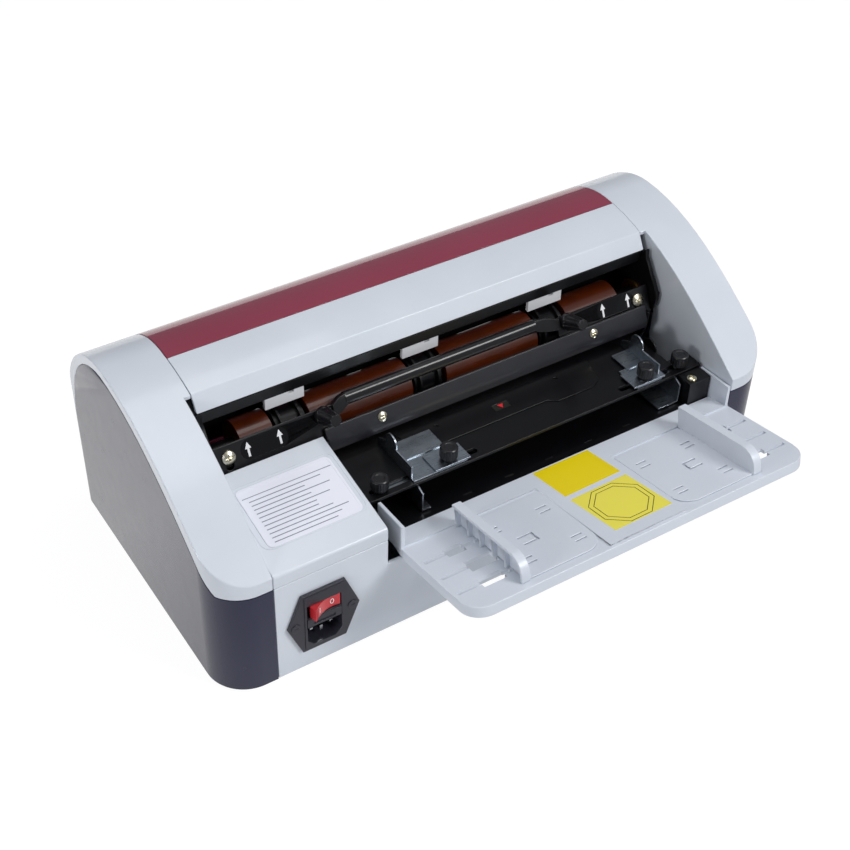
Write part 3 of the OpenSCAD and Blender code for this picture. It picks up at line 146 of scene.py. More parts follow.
def linear(code: str) -> Colour:
    """Turns an sRGB hex value into Blender's linear colour.

    Args:
        code: six hex digits with a leading hash.

    Returns:
        Red, green, blue and an alpha of 1.
    """
    parts = (int(code[i : i + 2], 16) / 255 for i in (1, 3, 5))
    rgb = [c / 12.92 if c <= 0.04045 else ((c + 0.055) / 1.055) ** 2.4 for c in parts]
    return (rgb[0], rgb[1], rgb[2], 1.0)


def add_node(
    tree: Tree,
    kind: str,
    settings: dict[str | int, object] | None = None,
    links: dict[str | int, Socket] | None = None,
) -> Node:
    """Adds one node to a tree.

    Args:
        tree: the tree that gets the node.
        kind: the node's type name.
        settings: attributes of the node, or values of its input sockets, by name or index.
        links: output sockets that feed the node's inputs, by the input's name or index.

    Returns:
        The new node.
    """
    node = tree.nodes.new(kind)
    for name, value in (settings or {}).items():
        if isinstance(name, str) and name not in node.inputs:
            setattr(node, name, value)
    for name, value in (settings or {}).items():
        if isinstance(name, int) or name in node.inputs:
            node.inputs[name].default_value = value
    for name, source in (links or {}).items():
        tree.links.new(source, node.inputs[name])
    return node


# ---------------------------------------------------------------- finishes


@dataclass(frozen=True)
class Finish:
    """A surface finish that builds one procedural material."""

    name: str
    colour: str
    roughness: float = 0.4

    def build(self) -> bpy.types.Material:
        """Builds the material on its first use.

        Returns:
            The material.
        """
        found = bpy.data.materials.get(self.name)
        if found:
            return found
        material = bpy.data.materials.new(self.name)
        material.use_nodes = True
        tree = material.node_tree
        tree.nodes.clear()
        shader = add_node(
            tree,
            "ShaderNodeBsdfPrincipled",
            {"Base Color": linear(self.colour), "Roughness": self.roughness},
        )
        add_node(tree, "ShaderNodeOutputMaterial", links={"Surface": shader.outputs[0]})
        where = add_node(tree, "ShaderNodeTexCoord").outputs["Object"]
        self.detail(tree, shader, where)
        material.diffuse_color = linear(self.colour)
        return material

    def detail(self, tree: Tree, shader: Node, where: Socket) -> None:
        """Adds what the finish shows beyond its colour.

        Args:
            tree: the material's tree.
            shader: its main shader.
            where: the place on the machine, from its Object coordinates.
        """

    def tint(self, tree: Tree, shader: Node, amount: Socket, low: str, high: str) -> None:
        """Colours the shader between two hex values.

        Args:
            tree: the material's tree.
            shader: the node whose base colour is set.
            amount: a socket from 0 to 1.
            low: the colour at 0.
            high: the colour at 1.
        """
        ramp = add_node(tree, "ShaderNodeValToRGB", links={"Fac": amount})
        ramp.color_ramp.elements[0].color = linear(low)
        ramp.color_ramp.elements[1].color = linear(high)
        tree.links.new(ramp.outputs["Color"], shader.inputs["Base Color"])

    def bump(self, tree: Tree, shader: Node, height: Socket, depth: float) -> None:
        """Bends the shader's normal by a height socket, depth in metres."""
        node = add_node(
            tree, "ShaderNodeBump", {"Strength": 1.0, "Distance": depth}, {"Height": height}
        )
        tree.links.new(node.outputs["Normal"], shader.inputs["Normal"])

    def noise(self, tree: Tree, where: Socket, size: float, detail: float = 2.0) -> Socket:
        """Returns the factor of a noise whose blotches are about size metres across."""
        return add_node(
            tree,
            "ShaderNodeTexNoise",
            {"Scale": 1 / size, "Detail": detail, "Roughness": 0.5},
            {"Vector": where},
        ).outputs["Fac"]

    def vary_roughness(self, tree: Tree, shader: Node, amount: Socket, spread: float) -> None:
        """Moves the roughness up and down by spread around its value."""
        mapped = add_node(
            tree,
            "ShaderNodeMapRange",
            {"To Min": max(0.0, self.roughness - spread), "To Max": self.roughness + spread},
            {"Value": amount},
        )
        tree.links.new(mapped.outputs["Result"], shader.inputs["Roughness"])


@dataclass(frozen=True)
class MouldedPlastic(Finish):
    """Injection moulded plastic: glossy, with a faint orange peel and soft cloudiness."""

    shade: str = "#C6CDD8"
    coat: float = 0.25
    peel_size: float = 2.4 * MM
    peel_depth: float = 0.012 * MM
    cloud_size: float = 38 * MM
    sheen_size: float = 9 * MM
    sheen_spread: float = 0.05
    coat_roughness: float = 0.08

    def detail(self, tree: Tree, shader: Node, where: Socket) -> None:
        """Adds the cloudiness, the orange peel and the clear gloss on top.

        Args:
            tree: the material's tree.
            shader: its main shader.
            where: the place on the machine, from its Object coordinates.
        """
        cloud = self.noise(tree, where, self.cloud_size, detail=3.0)
        self.tint(tree, shader, cloud, self.shade, self.colour)
        sheen = self.noise(tree, where, self.sheen_size)
        self.vary_roughness(tree, shader, sheen, self.sheen_spread)
        peel = self.noise(tree, where, self.peel_size, detail=1.0)
        self.bump(tree, shader, peel, self.peel_depth)
        shader.inputs["Coat Weight"].default_value = self.coat
        shader.inputs["Coat Roughness"].default_value = self.coat_roughness


@dataclass(frozen=True)
class CoatedSteel(Finish):
    """Steel sheet under stoved enamel: smooth, its gloss broken by a fine ripple and dust."""

    dust: str = "#24242A"
    coat: float = 0.5
    gloss: float = 0.5
    dust_size: float = 22 * MM
    sheen_size: float = 5 * MM
    sheen_spread: float = 0.08
    ripple_size: float = 1.3 * MM
    ripple_depth: float = 0.01 * MM
    coat_roughness: float = 0.12

    def detail(self, tree: Tree, shader: Node, where: Socket) -> None:
        """Adds the ripple, the dust and the enamel's gloss.

        Args:
            tree: the material's tree.
            shader: its main shader.
            where: the place on the machine, from its Object coordinates.
        """
        dusty = self.noise(tree, where, self.dust_size, detail=6.0)
        self.tint(tree, shader, dusty, self.colour, self.dust)
        sheen = self.noise(tree, where, self.sheen_size, detail=4.0)
        self.vary_roughness(tree, shader, sheen, self.sheen_spread)
        self.bump(tree, shader, self.noise(tree, where, self.ripple_size), self.ripple_depth)
        shader.inputs["Specular IOR Level"].default_value = self.gloss
        shader.inputs["Coat Weight"].default_value = self.coat
        shader.inputs["Coat Roughness"].default_value = self.coat_roughness


@dataclass(frozen=True)
class PlatedSteel(Finish):
    """Plated steel: metal with fine rolling lines and the plating's cloudy bloom."""

    bloom: str = "#55606A"
    bloom_size: float = 11 * MM
    line_size: float = 0.5 * MM
    line_depth: float = 0.006 * MM
    line_spread: float = 0.12
    line_stretch: tuple[float, float, float] = (0.04, 1.0, 1.0)

    def detail(self, tree: Tree, shader: Node, where: Socket) -> None:
        """Adds the bloom and the rolling lines, drawn along X as the sheet was rolled.

        Args:
            tree: the material's tree.
            shader: its main shader.
            where: the place on the machine, from its Object coordinates.
        """
        cloudy = self.noise(tree, where, self.bloom_size, detail=5.0)
        self.tint(tree, shader, cloudy, self.bloom, self.colour)
        stretched = add_node(
            tree, "ShaderNodeMapping", {"Scale": self.line_stretch}, {"Vector": where}
        ).outputs["Vector"]
        lines = self.noise(tree, stretched, self.line_size, detail=3.0)
        self.vary_roughness(tree, shader, lines, self.line_spread)
        self.bump(tree, shader, lines, self.line_depth)
        shader.inputs["Metallic"].default_value = 1.0


@dataclass(frozen=True)
class TintedAcrylic(Finish):
    """Cast acrylic tinted through: light leaves it coloured, under a polished skin."""

    through: float = 0.4
    depth: str = "#5A1420"
    depth_size: float = 90 * MM
    wave_size: float = 14 * MM
    wave_height: float = 0.01 * MM
    ior: float = 1.49

    def detail(self, tree: Tree, shader: Node, where: Socket) -> None:
        """Adds the depth of tint, the faint waviness of the sheet and its see-through share.

        Args:
            tree: the material's tree.
            shader: its main shader.
            where: the place on the machine, from its Object coordinates.
        """
        deep = self.noise(tree, where, self.depth_size, detail=1.0)
        self.tint(tree, shader, deep, self.depth, self.colour)
        waves = self.noise(tree, where, self.wave_size, detail=0.0)
        self.bump(tree, shader, waves, self.wave_height)
        shader.inputs["Transmission Weight"].default_value = self.through
        shader.inputs["IOR"].default_value = self.ior


@dataclass(frozen=True)
class CastUrethane(Finish):
    """Amber polyurethane cast on a core and ground round: waxy depth with faint grinding rings."""

    core: str = "#3A1402"
    core_size: float = 16 * MM
    ring_pitch: float = 4.4 * MM
    ring_depth: float = 0.008 * MM
    glow: float = 0.15
    glow_reach: float = 2 * MM
    coat: float = 0.4

    def detail(self, tree: Tree, shader: Node, where: Socket) -> None:
        """Adds the grinding rings round the roller's X axis and the waxy depth.

        Args:
            tree: the material's tree.
            shader: its main shader.
            where: the place on the machine, from its Object coordinates.
        """
        wave = {"Distortion": 0.6, "Detail": 1.0, "bands_direction": "X"}
        rings = add_node(
            tree, "ShaderNodeTexWave", {"Scale": 1 / self.ring_pitch, **wave}, {"Vector": where}
        ).outputs["Fac"]
        deep = self.noise(tree, where, self.core_size, detail=3.0)
        self.tint(tree, shader, deep, self.core, self.colour)
        self.bump(tree, shader, rings, self.ring_depth)
        shader.inputs["Subsurface Weight"].default_value = self.glow
        shader.inputs["Subsurface Scale"].default_value = self.glow_reach
        shader.inputs["Coat Weight"].default_value = self.coat


@dataclass(frozen=True)
class PrintedFilm(Finish):
    """Printed label film: satin, dead flat, with the slightest fibre of the print."""

    fibre_size: float = 0.7 * MM
    fibre_depth: float = 0.004 * MM
    fibre_spread: float = 0.06

    def detail(self, tree: Tree, shader: Node, where: Socket) -> None:
        """Adds the fibre.

        Args:
            tree: the material's tree.
            shader: its main shader.
            where: the place on the machine, from its Object coordinates.
        """
        fibre = self.noise(tree, where, self.fibre_size, detail=4.0)
        self.vary_roughness(tree, shader, fibre, self.fibre_spread)
        self.bump(tree, shader, fibre, self.fibre_depth)


@dataclass(frozen=True)
class SoftRubber(Finish):
    """Moulded rubber: matt, with a pebbled skin and pale bloom."""

    bloom: str = "#3A3A3E"
    bloom_size: float = 6 * MM
    pebble_size: float = 0.6 * MM
    pebble_depth: float = 0.03 * MM

    def detail(self, tree: Tree, shader: Node, where: Socket) -> None:
        """Adds the bloom and the pebbles.

        Args:
            tree: the material's tree.
            shader: its main shader.
            where: the place on the machine, from its Object coordinates.
        """
        pale = self.noise(tree, where, self.bloom_size, detail=5.0)
        self.tint(tree, shader, pale, self.colour, self.bloom)
        self.bump(tree, shader, self.noise(tree, where, self.pebble_size), self.pebble_depth)


@dataclass(frozen=True)
class BoardLaminate(Finish):
    """Circuit board under solder mask: glossy, with copper tracks as paler lines."""

    track: str = "#2F7A50"
    track_pitch: float = 4 * MM
    coat: float = 0.6

    def detail(self, tree: Tree, shader: Node, where: Socket) -> None:
        """Adds the tracks as the cell borders of a square lattice.

        Args:
            tree: the material's tree.
            shader: its main shader.
            where: the place on the machine, from its Object coordinates.
        """
        cells = add_node(
            tree,
            "ShaderNodeTexVoronoi",
            {"Scale": 1 / self.track_pitch, "distance": "CHEBYCHEV", "feature": "F1"},
            {"Vector": where},
        ).outputs["Distance"]
        self.tint(tree, shader, cells, self.colour, self.track)
        shader.inputs["Coat Weight"].default_value = self.coat


class Look(Enum):
    """The finishes of the machine, one for each kind of surface."""

    CASING = MouldedPlastic(
        "glossy_grey_abs", "#DDE2EA", 0.24, "#D2D9E2", peel_size=5 * MM, peel_depth=0.008 * MM
    )
    TRAY = MouldedPlastic("grey_tray_abs", "#DEE4ED", 0.34, "#D6DCE6", coat=0.12)
    PANEL = MouldedPlastic("slate_abs", "#2D2E4B", 0.25, "#282941", coat=0.25)
    WINDOW = TintedAcrylic("wine_red_acrylic", "#B2546A", 0.08, through=0.35, depth="#A2445A")
    FILM = PrintedFilm("white_label_film", "#EEF0FA", 0.38)
    RULE = PrintedFilm("grey_print", "#6E7488", 0.4)
    YELLOW = PrintedFilm("yellow_vinyl", "#F5DC14", 0.35)
    PALE_YELLOW = PrintedFilm("pale_yellow_vinyl", "#F6EA5A", 0.35)
    INK = PrintedFilm("black_print", "#1A1A14", 0.4)
    WHITE_INK = PrintedFilm("white_print", "#F4F5F7", 0.45)
    PATCH = PrintedFilm("black_gloss_film", "#08080A", 0.12)
    MARK = PrintedFilm("red_print", "#E02630", 0.35)
    ENAMEL = CoatedSteel("black_enamelled_steel", "#060608", 0.35, "#0E0E11", coat=0.1, gloss=0.28)
    BAR = CoatedSteel("charcoal_enamelled_steel", "#1F1F24", 0.38, "#28282E", coat=0.2)
    MOTOR = CoatedSteel("grey_motor_enamel", "#3C3F45", 0.4, "#4A4D54")
    GRIP = MouldedPlastic("black_grip_nylon", "#111114", 0.32, "#0B0B0E", coat=0.2)
    KNOB = MouldedPlastic("black_knob_nylon", "#17171B", 0.35, "#101014", coat=0.1)
    INLET = MouldedPlastic("graphite_nylon", "#34343F", 0.36, "#2B2B34", coat=0.15)
    SWITCH = MouldedPlastic("red_rocker_nylon", "#D93038", 0.2, "#C22730", coat=0.5)
    NATURAL = MouldedPlastic("natural_acetal", "#E3E2F2", 0.4, "#D4D3E6", coat=0.1)
    RACK = MouldedPlastic("blue_acetal", "#2C4F8A", 0.4, "#244376", coat=0.1)
    ZINC = PlatedSteel("zinc_plated_sheet", "#BCC3CC", 0.3, "#7E8890")
    STEEL = PlatedSteel("turned_steel", "#B9BDC4", 0.25, "#8E949C")
    SPRING = PlatedSteel("spring_steel", "#C9CCE0", 0.22, "#A9ADC4")
    BRASS = PlatedSteel("yellow_zinc_screws", "#EEEAD8", 0.26, "#CFC6A8")
    BRONZE = PlatedSteel("sintered_bronze", "#A9824A", 0.45, "#7C5D31")
    CONTACT = PlatedSteel("nickel_contacts", "#D5D8DD", 0.2, "#B3B7BE")
    ROLLER = CastUrethane("amber_urethane", "#5C2204", 0.32)
    CLEAR = TintedAcrylic("clear_polycarbonate", "#FAFBFD", 0.12, through=0.15, depth="#F2F4F8")
    BOARD = BoardLaminate("green_circuit_board", "#1B5436", 0.35)
    WIRE = SoftRubber("wire_insulation", "#5A3A2C", 0.5)
    FOOT = SoftRubber("black_foot_rubber", "#26262A", 0.75)

    def material(self) -> bpy.types.Material:
        """Returns the look's material."""
        return self.value.build()


# ---------------------------------------------------------------- mesh helpers


@dataclass(frozen=True)
class Round:
    """A set of sharp edges and the radius that they are rounded to."""

    radius: float
    segments: int = 2
    where: Callable[[bmesh.types.BMEdge], bool] = lambda edge: True
    angle: float = 35.0


def new_piece(
    name: str, mesh: bpy.types.Mesh, look: Look, body: str
) -> bpy.types.Object:
    """Links a finished mesh as one piece of the machine.

    Args:
        name: the piece's name.
        mesh: its mesh, in the model's frame.
        look: its finish.
        body: the CAD body that it rides on.

    Returns:
        The new object, at the origin.
    """
    piece = bpy.data.objects.new(name, mesh)
    bpy.context.scene.collection.objects.link(piece)
    if not mesh.materials:
        mesh.materials.append(look.material())
    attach(piece, body)
    LOG.info("piece %s: %d faces, rides on %s", name, len(mesh.polygons), body)
    return piece


def finish_mesh(bm: Solid, name: str, smooth_angle: float = 38.0) -> bpy.types.Mesh:
    """Turns a bmesh into a mesh with smooth curves and crisp edges, and frees it.

    Args:
        bm: the bmesh.
        name: the mesh's name.
        smooth_angle: degrees between two faces from which their edge is crisp.

    Returns:
        The mesh.
    """
    mesh = bpy.data.meshes.new(name)
    bm.to_mesh(mesh)
    bm.free()
    for polygon in mesh.polygons:
        polygon.use_smooth = True
    mesh.set_sharp_from_angle(angle=math.radians(smooth_angle))
    return mesh


def weigh_normals(piece: bpy.types.Object) -> None:
    """Keeps wide faces flat beside rounded edges.

    Args:
        piece: the piece that gets the modifier.
    """
    modifier = piece.modifiers.new("flat faces", "WEIGHTED_NORMAL")
    modifier.keep_sharp = True
    modifier.weight = 100


def round_edges(bm: Solid, rounds: Iterable[Round]) -> None:
    """Rounds the outer sharp edges that each set picks, in turn, away from crowded corners.

    Args:
        bm: the bmesh, changed in place.
        rounds: the sets of edges with their radii.
    """
    for item in rounds:
        bm.normal_update()
        limit = math.radians(item.angle)
        sharp = {e for e in bm.edges if e.is_manifold and e.calc_face_angle(0.0) > limit}
        crowded = {
            vertex
            for e in sharp
            if e.calc_length() < 2 * item.radius
            for vertex in e.verts
            if sum(other in sharp for other in vertex.link_edges) > 2
        }
        picked = [
            e
            for e in bm.edges
            if e in sharp and e.is_convex and crowded.isdisjoint(e.verts) and item.where(e)
        ]
        bmesh.ops.bevel(
            bm,
            geom=picked,
            offset=item.radius,
            offset_type="OFFSET",
            segments=item.segments,
            profile=0.5,
            affect="EDGES",
            clamp_overlap=False,
        )


def strays(bm: Solid, surface: BVHTree, limit: float) -> int:
    """Counts the vertices and triangle middles that lie far from a surface.

    Args:
        bm: the bmesh that is tested.
        surface: the surface that it should follow.
        limit: the greatest distance, in metres, that isn't counted.

    Returns:
        How many spots lie further away.
    """
    spots = [vertex.co for vertex in bm.verts]
    for corners in bm.calc_loop_triangles():
        spots.append(sum((loop.vert.co for loop in corners), Vector()) / 3)
    return sum(surface.find_nearest(spot, limit)[0] is None for spot in spots)


def flat_plate(place: Seat, outline: Outline, low: float, high: float) -> Solid:
    """Makes a plate on a seat.

    Args:
        place: where it lies.
        outline: its corners in the seat's millimetres, anticlockwise as seen from outside.
        low: its underside, in millimetres outwards.
        high: its top, in millimetres outwards.

    Returns:
        The closed plate.
    """
    bm = bmesh.new()
    under = [bm.verts.new(place.at(x, y, low)) for x, y in outline]
    over = [bm.verts.new(place.at(x, y, high)) for x, y in outline]
    bm.faces.new(over)
    bm.faces.new(list(reversed(under)))
    for i in range(len(outline)):
        j = (i + 1) % len(outline)
        bm.faces.new((under[i], under[j], over[j], over[i]))
    bmesh.ops.recalc_face_normals(bm, faces=bm.faces)
    return bm


def flat_ring(place: Seat, outer: Outline, inner: Outline, low: float, high: float) -> Solid:
    """Makes a flat band on a seat.

    Args:
        place: where it lies.
        outer: its outer corners in the seat's millimetres.
        inner: its inner corners, as many as the outer ones and in the same order.
        low: its underside, in millimetres outwards.
        high: its top, in millimetres outwards.

    Returns:
        The closed band.
    """
    bm = bmesh.new()
    rows = [
        [bm.verts.new(place.at(x, y, z)) for x, y in outline]
        for outline, z in ((outer, low), (outer, high), (inner, high), (inner, low))
    ]
    for row, current in enumerate(rows):
        after = rows[(row + 1) % len(rows)]
        for i in range(len(outer)):
            j = (i + 1) % len(outer)
            bm.faces.new((current[i], current[j], after[j], after[i]))
    bmesh.ops.recalc_face_normals(bm, faces=bm.faces)
    return bm


def gather(parts: Iterable[Solid]) -> Solid:
    """Puts several bmeshes into one, and frees them.

    Args:
        parts: the bmeshes.

    Returns:
        One bmesh with all their faces.
    """
    whole = bmesh.new()
    for part in parts:
        carrier = bpy.data.meshes.new("part")
        part.to_mesh(carrier)
        part.free()
        whole.from_mesh(carrier)
        bpy.data.meshes.remove(carrier)
    return whole


def polygon_points(
    radius: float, corners: int, middle: Spot = (0.0, 0.0), first: float = 0.0
) -> list[Spot]:
    """Makes the outline of a regular polygon.

    Args:
        radius: the distance from its middle to each corner.
        corners: how many corners it has.
        middle: where its middle is.
        first: degrees from the right, anticlockwise, to its first corner.

    Returns:
        Its corners, anticlockwise.
    """
    points = []
    for i in range(corners):
        angle = math.radians(first) + i * (2 * math.pi / corners)
        points.append((middle[0] + radius * math.cos(angle), middle[1] + radius * math.sin(angle)))
    return points


def oblong(left: float, right: float, low: float, high: float) -> list[Spot]:
    """Returns a rectangle's corners, anticlockwise."""
    return [(left, low), (right, low), (right, high), (left, high)]


def rounded_box(
    half: Spot, radius: float, middle: Spot = (0.0, 0.0), steps: int = 6
) -> list[Spot]:
    """Makes the outline of a rectangle with round corners.

    Args:
        half: half its width and half its height.
        radius: the radius of its corners.
        middle: where its middle is.
        steps: how many sides each round corner has.

    Returns:
        Its corners, anticlockwise.
    """
    points = []
    for quarter, (sx, sy) in enumerate(((1, 1), (-1, 1), (-1, -1), (1, -1))):
        x = middle[0] + sx * (half[0] - radius)
        y = middle[1] + sy * (half[1] - radius)
        for i in range(steps + 1):
            angle = math.pi / 2 * (quarter + i / steps)
            points.append((x + radius * math.cos(angle), y + radius * math.sin(angle)))
    return points


def copies_group() -> Tree:
    """Makes, once, the node group that puts a stretched copy of a piece on every point.

    Returns:
        The node group.
    """
    found = bpy.data.node_groups.get("copies")
    if found:
        return found
    group = bpy.data.node_groups.new("copies", "GeometryNodeTree")
    for name, kind in (
        ("Points", "NodeSocketGeometry"),
        ("Piece", "NodeSocketObject"),
        ("Shortest", "NodeSocketFloat"),
        ("Longest", "NodeSocketFloat"),
        ("Seed", "NodeSocketInt"),
        ("Material", "NodeSocketMaterial"),
    ):
        group.interface.new_socket(name, in_out="INPUT", socket_type=kind)
    group.interface.new_socket("Result", in_out="OUTPUT", socket_type="NodeSocketGeometry")
    enter = add_node(group, "NodeGroupInput").outputs
    unit = add_node(
        group, "GeometryNodeObjectInfo", links={"Object": enter["Piece"]}
    ).outputs["Geometry"]
    share = add_node(
        group,
        "FunctionNodeRandomValue",
        {"data_type": "FLOAT"},
        {2: enter["Shortest"], 3: enter["Longest"], "Seed": enter["Seed"]},
    ).outputs[1]
    scale = add_node(group, "ShaderNodeCombineXYZ", {1: 1.0, 2: 1.0}, {0: share}).outputs[0]
    copies = add_node(
        group,
        "GeometryNodeInstanceOnPoints",
        links={"Points": enter["Points"], "Instance": unit, "Scale": scale},
    ).outputs[0]
    real = add_node(group, "GeometryNodeRealizeInstances", links={0: copies}).outputs[0]
    painted = add_node(
        group, "GeometryNodeSetMaterial", links={"Geometry": real, "Material": enter["Material"]}
    ).outputs[0]
    add_node(group, "NodeGroupOutput", links={0: painted})
    return group


def repeat(
    unit: Solid,
    spots: Sequence[Vector],
    name: str,
    look: Look,
    shares: Spot = (1.0, 1.0),
    seed: int = 1,
) -> bpy.types.Mesh:
    """Copies a small mesh to every spot with Geometry Nodes.

    Args:
        unit: the mesh to copy, about the origin.
        spots: where the copies go, in the model's frame.
        name: the new mesh's name.
        look: the finish of the copies.
        shares: the least and greatest stretch in X.
        seed: the seed of the stretch.

    Returns:
        One mesh with all the copies.
    """
    piece = bpy.data.objects.new(f"{name}_unit", finish_mesh(unit, f"{name}_unit"))
    points = bpy.data.meshes.new(f"{name}_points")
    points.from_pydata([tuple(spot) for spot in spots], [], [])
    carrier = bpy.data.objects.new(f"{name}_carrier", points)
    for item in (piece, carrier):
        bpy.context.scene.collection.objects.link(item)
    group = copies_group()
    modifier = carrier.modifiers.new("copies", "NODES")
    modifier.node_group = group
    values = {
        "Piece": piece,
        "Shortest": shares[0],
        "Longest": shares[1],
        "Seed": seed,
        "Material": look.material(),
    }
    for socket in group.interface.items_tree:
        if socket.in_out == "INPUT" and socket.name in values:
            modifier[socket.identifier] = values[socket.name]
    evaluated = carrier.evaluated_get(bpy.context.evaluated_depsgraph_get())
    mesh = bpy.data.meshes.new_from_object(evaluated)
    mesh.name = name
    carrier.modifiers.remove(modifier)
    for item in (carrier, piece):
        bpy.data.objects.remove(item)
    LOG.info("%s: %d copies by Geometry Nodes", name, len(spots))
    return mesh


def rounded_copy(source: bpy.types.Object, rounds: Sequence[Round]) -> Solid:
    """Copies a CAD node's mesh and rounds its edges.

    The rounding is compared with the node both ways. Where it strays, a smaller share of the
    radius is tried, and at last none.

    Args:
        source: the CAD node.
        rounds: the edges to round.

    Returns:
        The rounded copy.
    """
    plain = bmesh.new()
    plain.from_mesh(source.data)
    before = BVHTree.FromBMesh(plain)
    for share in RADIUS_SHARES:
        bm = bmesh.new()
        bm.from_mesh(source.data)
        bmesh.ops.remove_doubles(bm, verts=bm.verts, dist=WELD)
        if not share:
            break
        bmesh.ops.dissolve_limit(
            bm,
            angle_limit=FLAT_ANGLE,
            verts=bm.verts,
            edges=bm.edges,
            use_dissolve_boundaries=False,
        )
        scaled = [replace(item, radius=share * item.radius) for item in rounds]
        round_edges(bm, scaled)
        limit = STRAY_RADII * max(item.radius for item in scaled)
        off = strays(bm, before, limit) + strays(plain, BVHTree.FromBMesh(bm), limit)
        if not off:
            break
        LOG.info("%s: %d spots stray at %.0f%% of the radius", source.name, off, 100 * share)
        bm.free()
    plain.free()
    return bm


def dress_copy(frame: dict, node: str, look: Look, rounds: Sequence[Round]) -> None:
    """Replaces a CAD node by a copy with rounded edges, held inside the node's box.

    Args:
        node: the CAD node.
        look: its finish.
        rounds: the edges to round.
    """
    source = frame["nodes"][node]
    bm = rounded_copy(source, rounds)
    low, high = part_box(node)
    for vertex in bm.verts:
        vertex.co = [
            min(max(c, float(least)), float(most))
            for c, least, most in zip(vertex.co, low, high)
        ]
    name = f"{node}_shell"
    piece = new_piece(name, finish_mesh(bm, name), look, source["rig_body"])
    weigh_normals(piece)
    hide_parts(node)


def dress_node(frame: dict, node: str, look: Look) -> None:
    """Gives a CAD node its material in every slot.

    Args:
        node: the CAD node.
        look: its finish.
    """
    mesh = frame["nodes"][node].data
    if mesh.materials:
        for index in range(len(mesh.materials)):
            mesh.materials[index] = look.material()
    else:
        mesh.materials.append(look.material())


# ---------------------------------------------------------------- sub-assemblies


@dataclass
class Casing:
    """The moulded casing: base, caps, side panels, covers, deck with its label, and feet."""

    frame: dict
    edge: float = 0.8 * MM
    panel_edge: float = 0.4 * MM
    window_edge: float = 0.5 * MM
    light_shells: tuple[str, ...] = (
        "base_shell",
        "rear_cover",
        "left_end_cap",
        "right_end_cap",
        "top_front_cover",
        "deck_cover",
    )
    # The label's place on the sloping deck, and the raised line around it.
    deck_at_mm: Place = (-137.5, 42.0, 98.78)
    deck_tilt: float = 10.5
    frame_middle_mm: Spot = (0.0, 1.2)
    frame_half_mm: Spot = (36.7, 25.7)
    frame_corner_mm: float = 6.4
    frame_band_mm: float = 1.0
    frame_heights_mm: Span = (-0.1, 0.3)
    # The plain rules that stand for the label's lines.
    title_columns_mm: Span = (-31.0, 31.0)
    title_rows_mm: Span = (15.8, 16.3)
    title_heights_mm: Span = (0.25, 0.34)
    rule_count: int = 11
    rule_start_mm: Place = (-28.0, 12.6, 0.3)
    rule_pitch_mm: float = 3.3
    rule_lengths_mm: Span = (34.0, 56.0)
    rule_rows_mm: Span = (-0.3, 0.3)
    rule_heights_mm: Span = (-0.05, 0.04)
    rule_seed: int = 4
    # Pan head screws under the base.
    screw_radius_mm: float = 3.2
    screw_recess_mm: float = 0.9
    screw_heights_mm: Span = (-0.1, 1.3)
    screw_sides: int = 24
    screw_columns_mm: tuple[float, ...] = (-150.0, 0.0, 150.0)
    screw_rows_mm: tuple[float, ...] = (21.0, 202.0)

    def build(self) -> None:
        """Dresses every part of the casing."""
        shell = [Round(self.edge, segments=3)]
        for node in self.light_shells:
            dress_copy(self.frame, node, Look.CASING, shell)
        panel = [Round(self.panel_edge)]
        for node in ("left_side_panel", "right_side_panel"):
            dress_copy(self.frame, node, Look.PANEL, panel)
        window = [Round(self.window_edge)]
        dress_copy(self.frame, "red_window", Look.WINDOW, window)
        dress_node(self.frame, "cover_hinge_pins", Look.STEEL)
        dress_node(self.frame, "rubber_feet", Look.FOOT)
        dress_node(self.frame, "deck_label", Look.FILM)
        self.label()
        self.base_screws()

    def label(self) -> None:
        """Puts the label's frame and its plain rules on the power deck."""
        deck = seat(*self.deck_at_mm, tilt=self.deck_tilt)
        band, corner, middle = self.frame_band_mm, self.frame_corner_mm, self.frame_middle_mm
        wide, tall = self.frame_half_mm
        outer = rounded_box((wide, tall), corner, middle)
        inner = rounded_box((wide - band, tall - band), corner - band, middle)
        rim = flat_ring(deck, outer, inner, *self.frame_heights_mm)
        mesh = finish_mesh(rim, "label_frame")
        new_piece("label_frame", mesh, Look.CASING, "casing")
        title = oblong(*self.title_columns_mm, *self.title_rows_mm)
        mesh = finish_mesh(flat_plate(deck, title, *self.title_heights_mm), "label_title_rule")
        new_piece("label_title_rule", mesh, Look.RULE, "casing")
        # One rule is 1 mm long, and each copy is stretched to its own length.
        rule = oblong(0.0, 1.0, *self.rule_rows_mm)
        unit = flat_plate(deck.free(), rule, *self.rule_heights_mm)
        left, first, top = self.rule_start_mm
        spots = [
            deck.at(left, first - self.rule_pitch_mm * row, top) for row in range(self.rule_count)
        ]
        mesh = repeat(
            unit, spots, "label_rules", Look.RULE, self.rule_lengths_mm, self.rule_seed
        )
        new_piece("label_rules", mesh, Look.RULE, "casing")

    def base_screws(self) -> None:
        """Puts the six pan head screws that hold the caps under the base."""
        under = seat(0.0, 0.0, 0.0, tilt=180.0).free()
        outer = polygon_points(self.screw_radius_mm, self.screw_sides)
        inner = polygon_points(self.screw_recess_mm, self.screw_sides)
        head = flat_ring(under, outer, inner, *self.screw_heights_mm)
        spots = [
            seat(x, y, 0.0).origin for x in self.screw_columns_mm for y in self.screw_rows_mm
        ]
        mesh = repeat(head, spots, "base_screws", Look.STEEL)
        new_piece("base_screws", mesh, Look.STEEL, "casing")


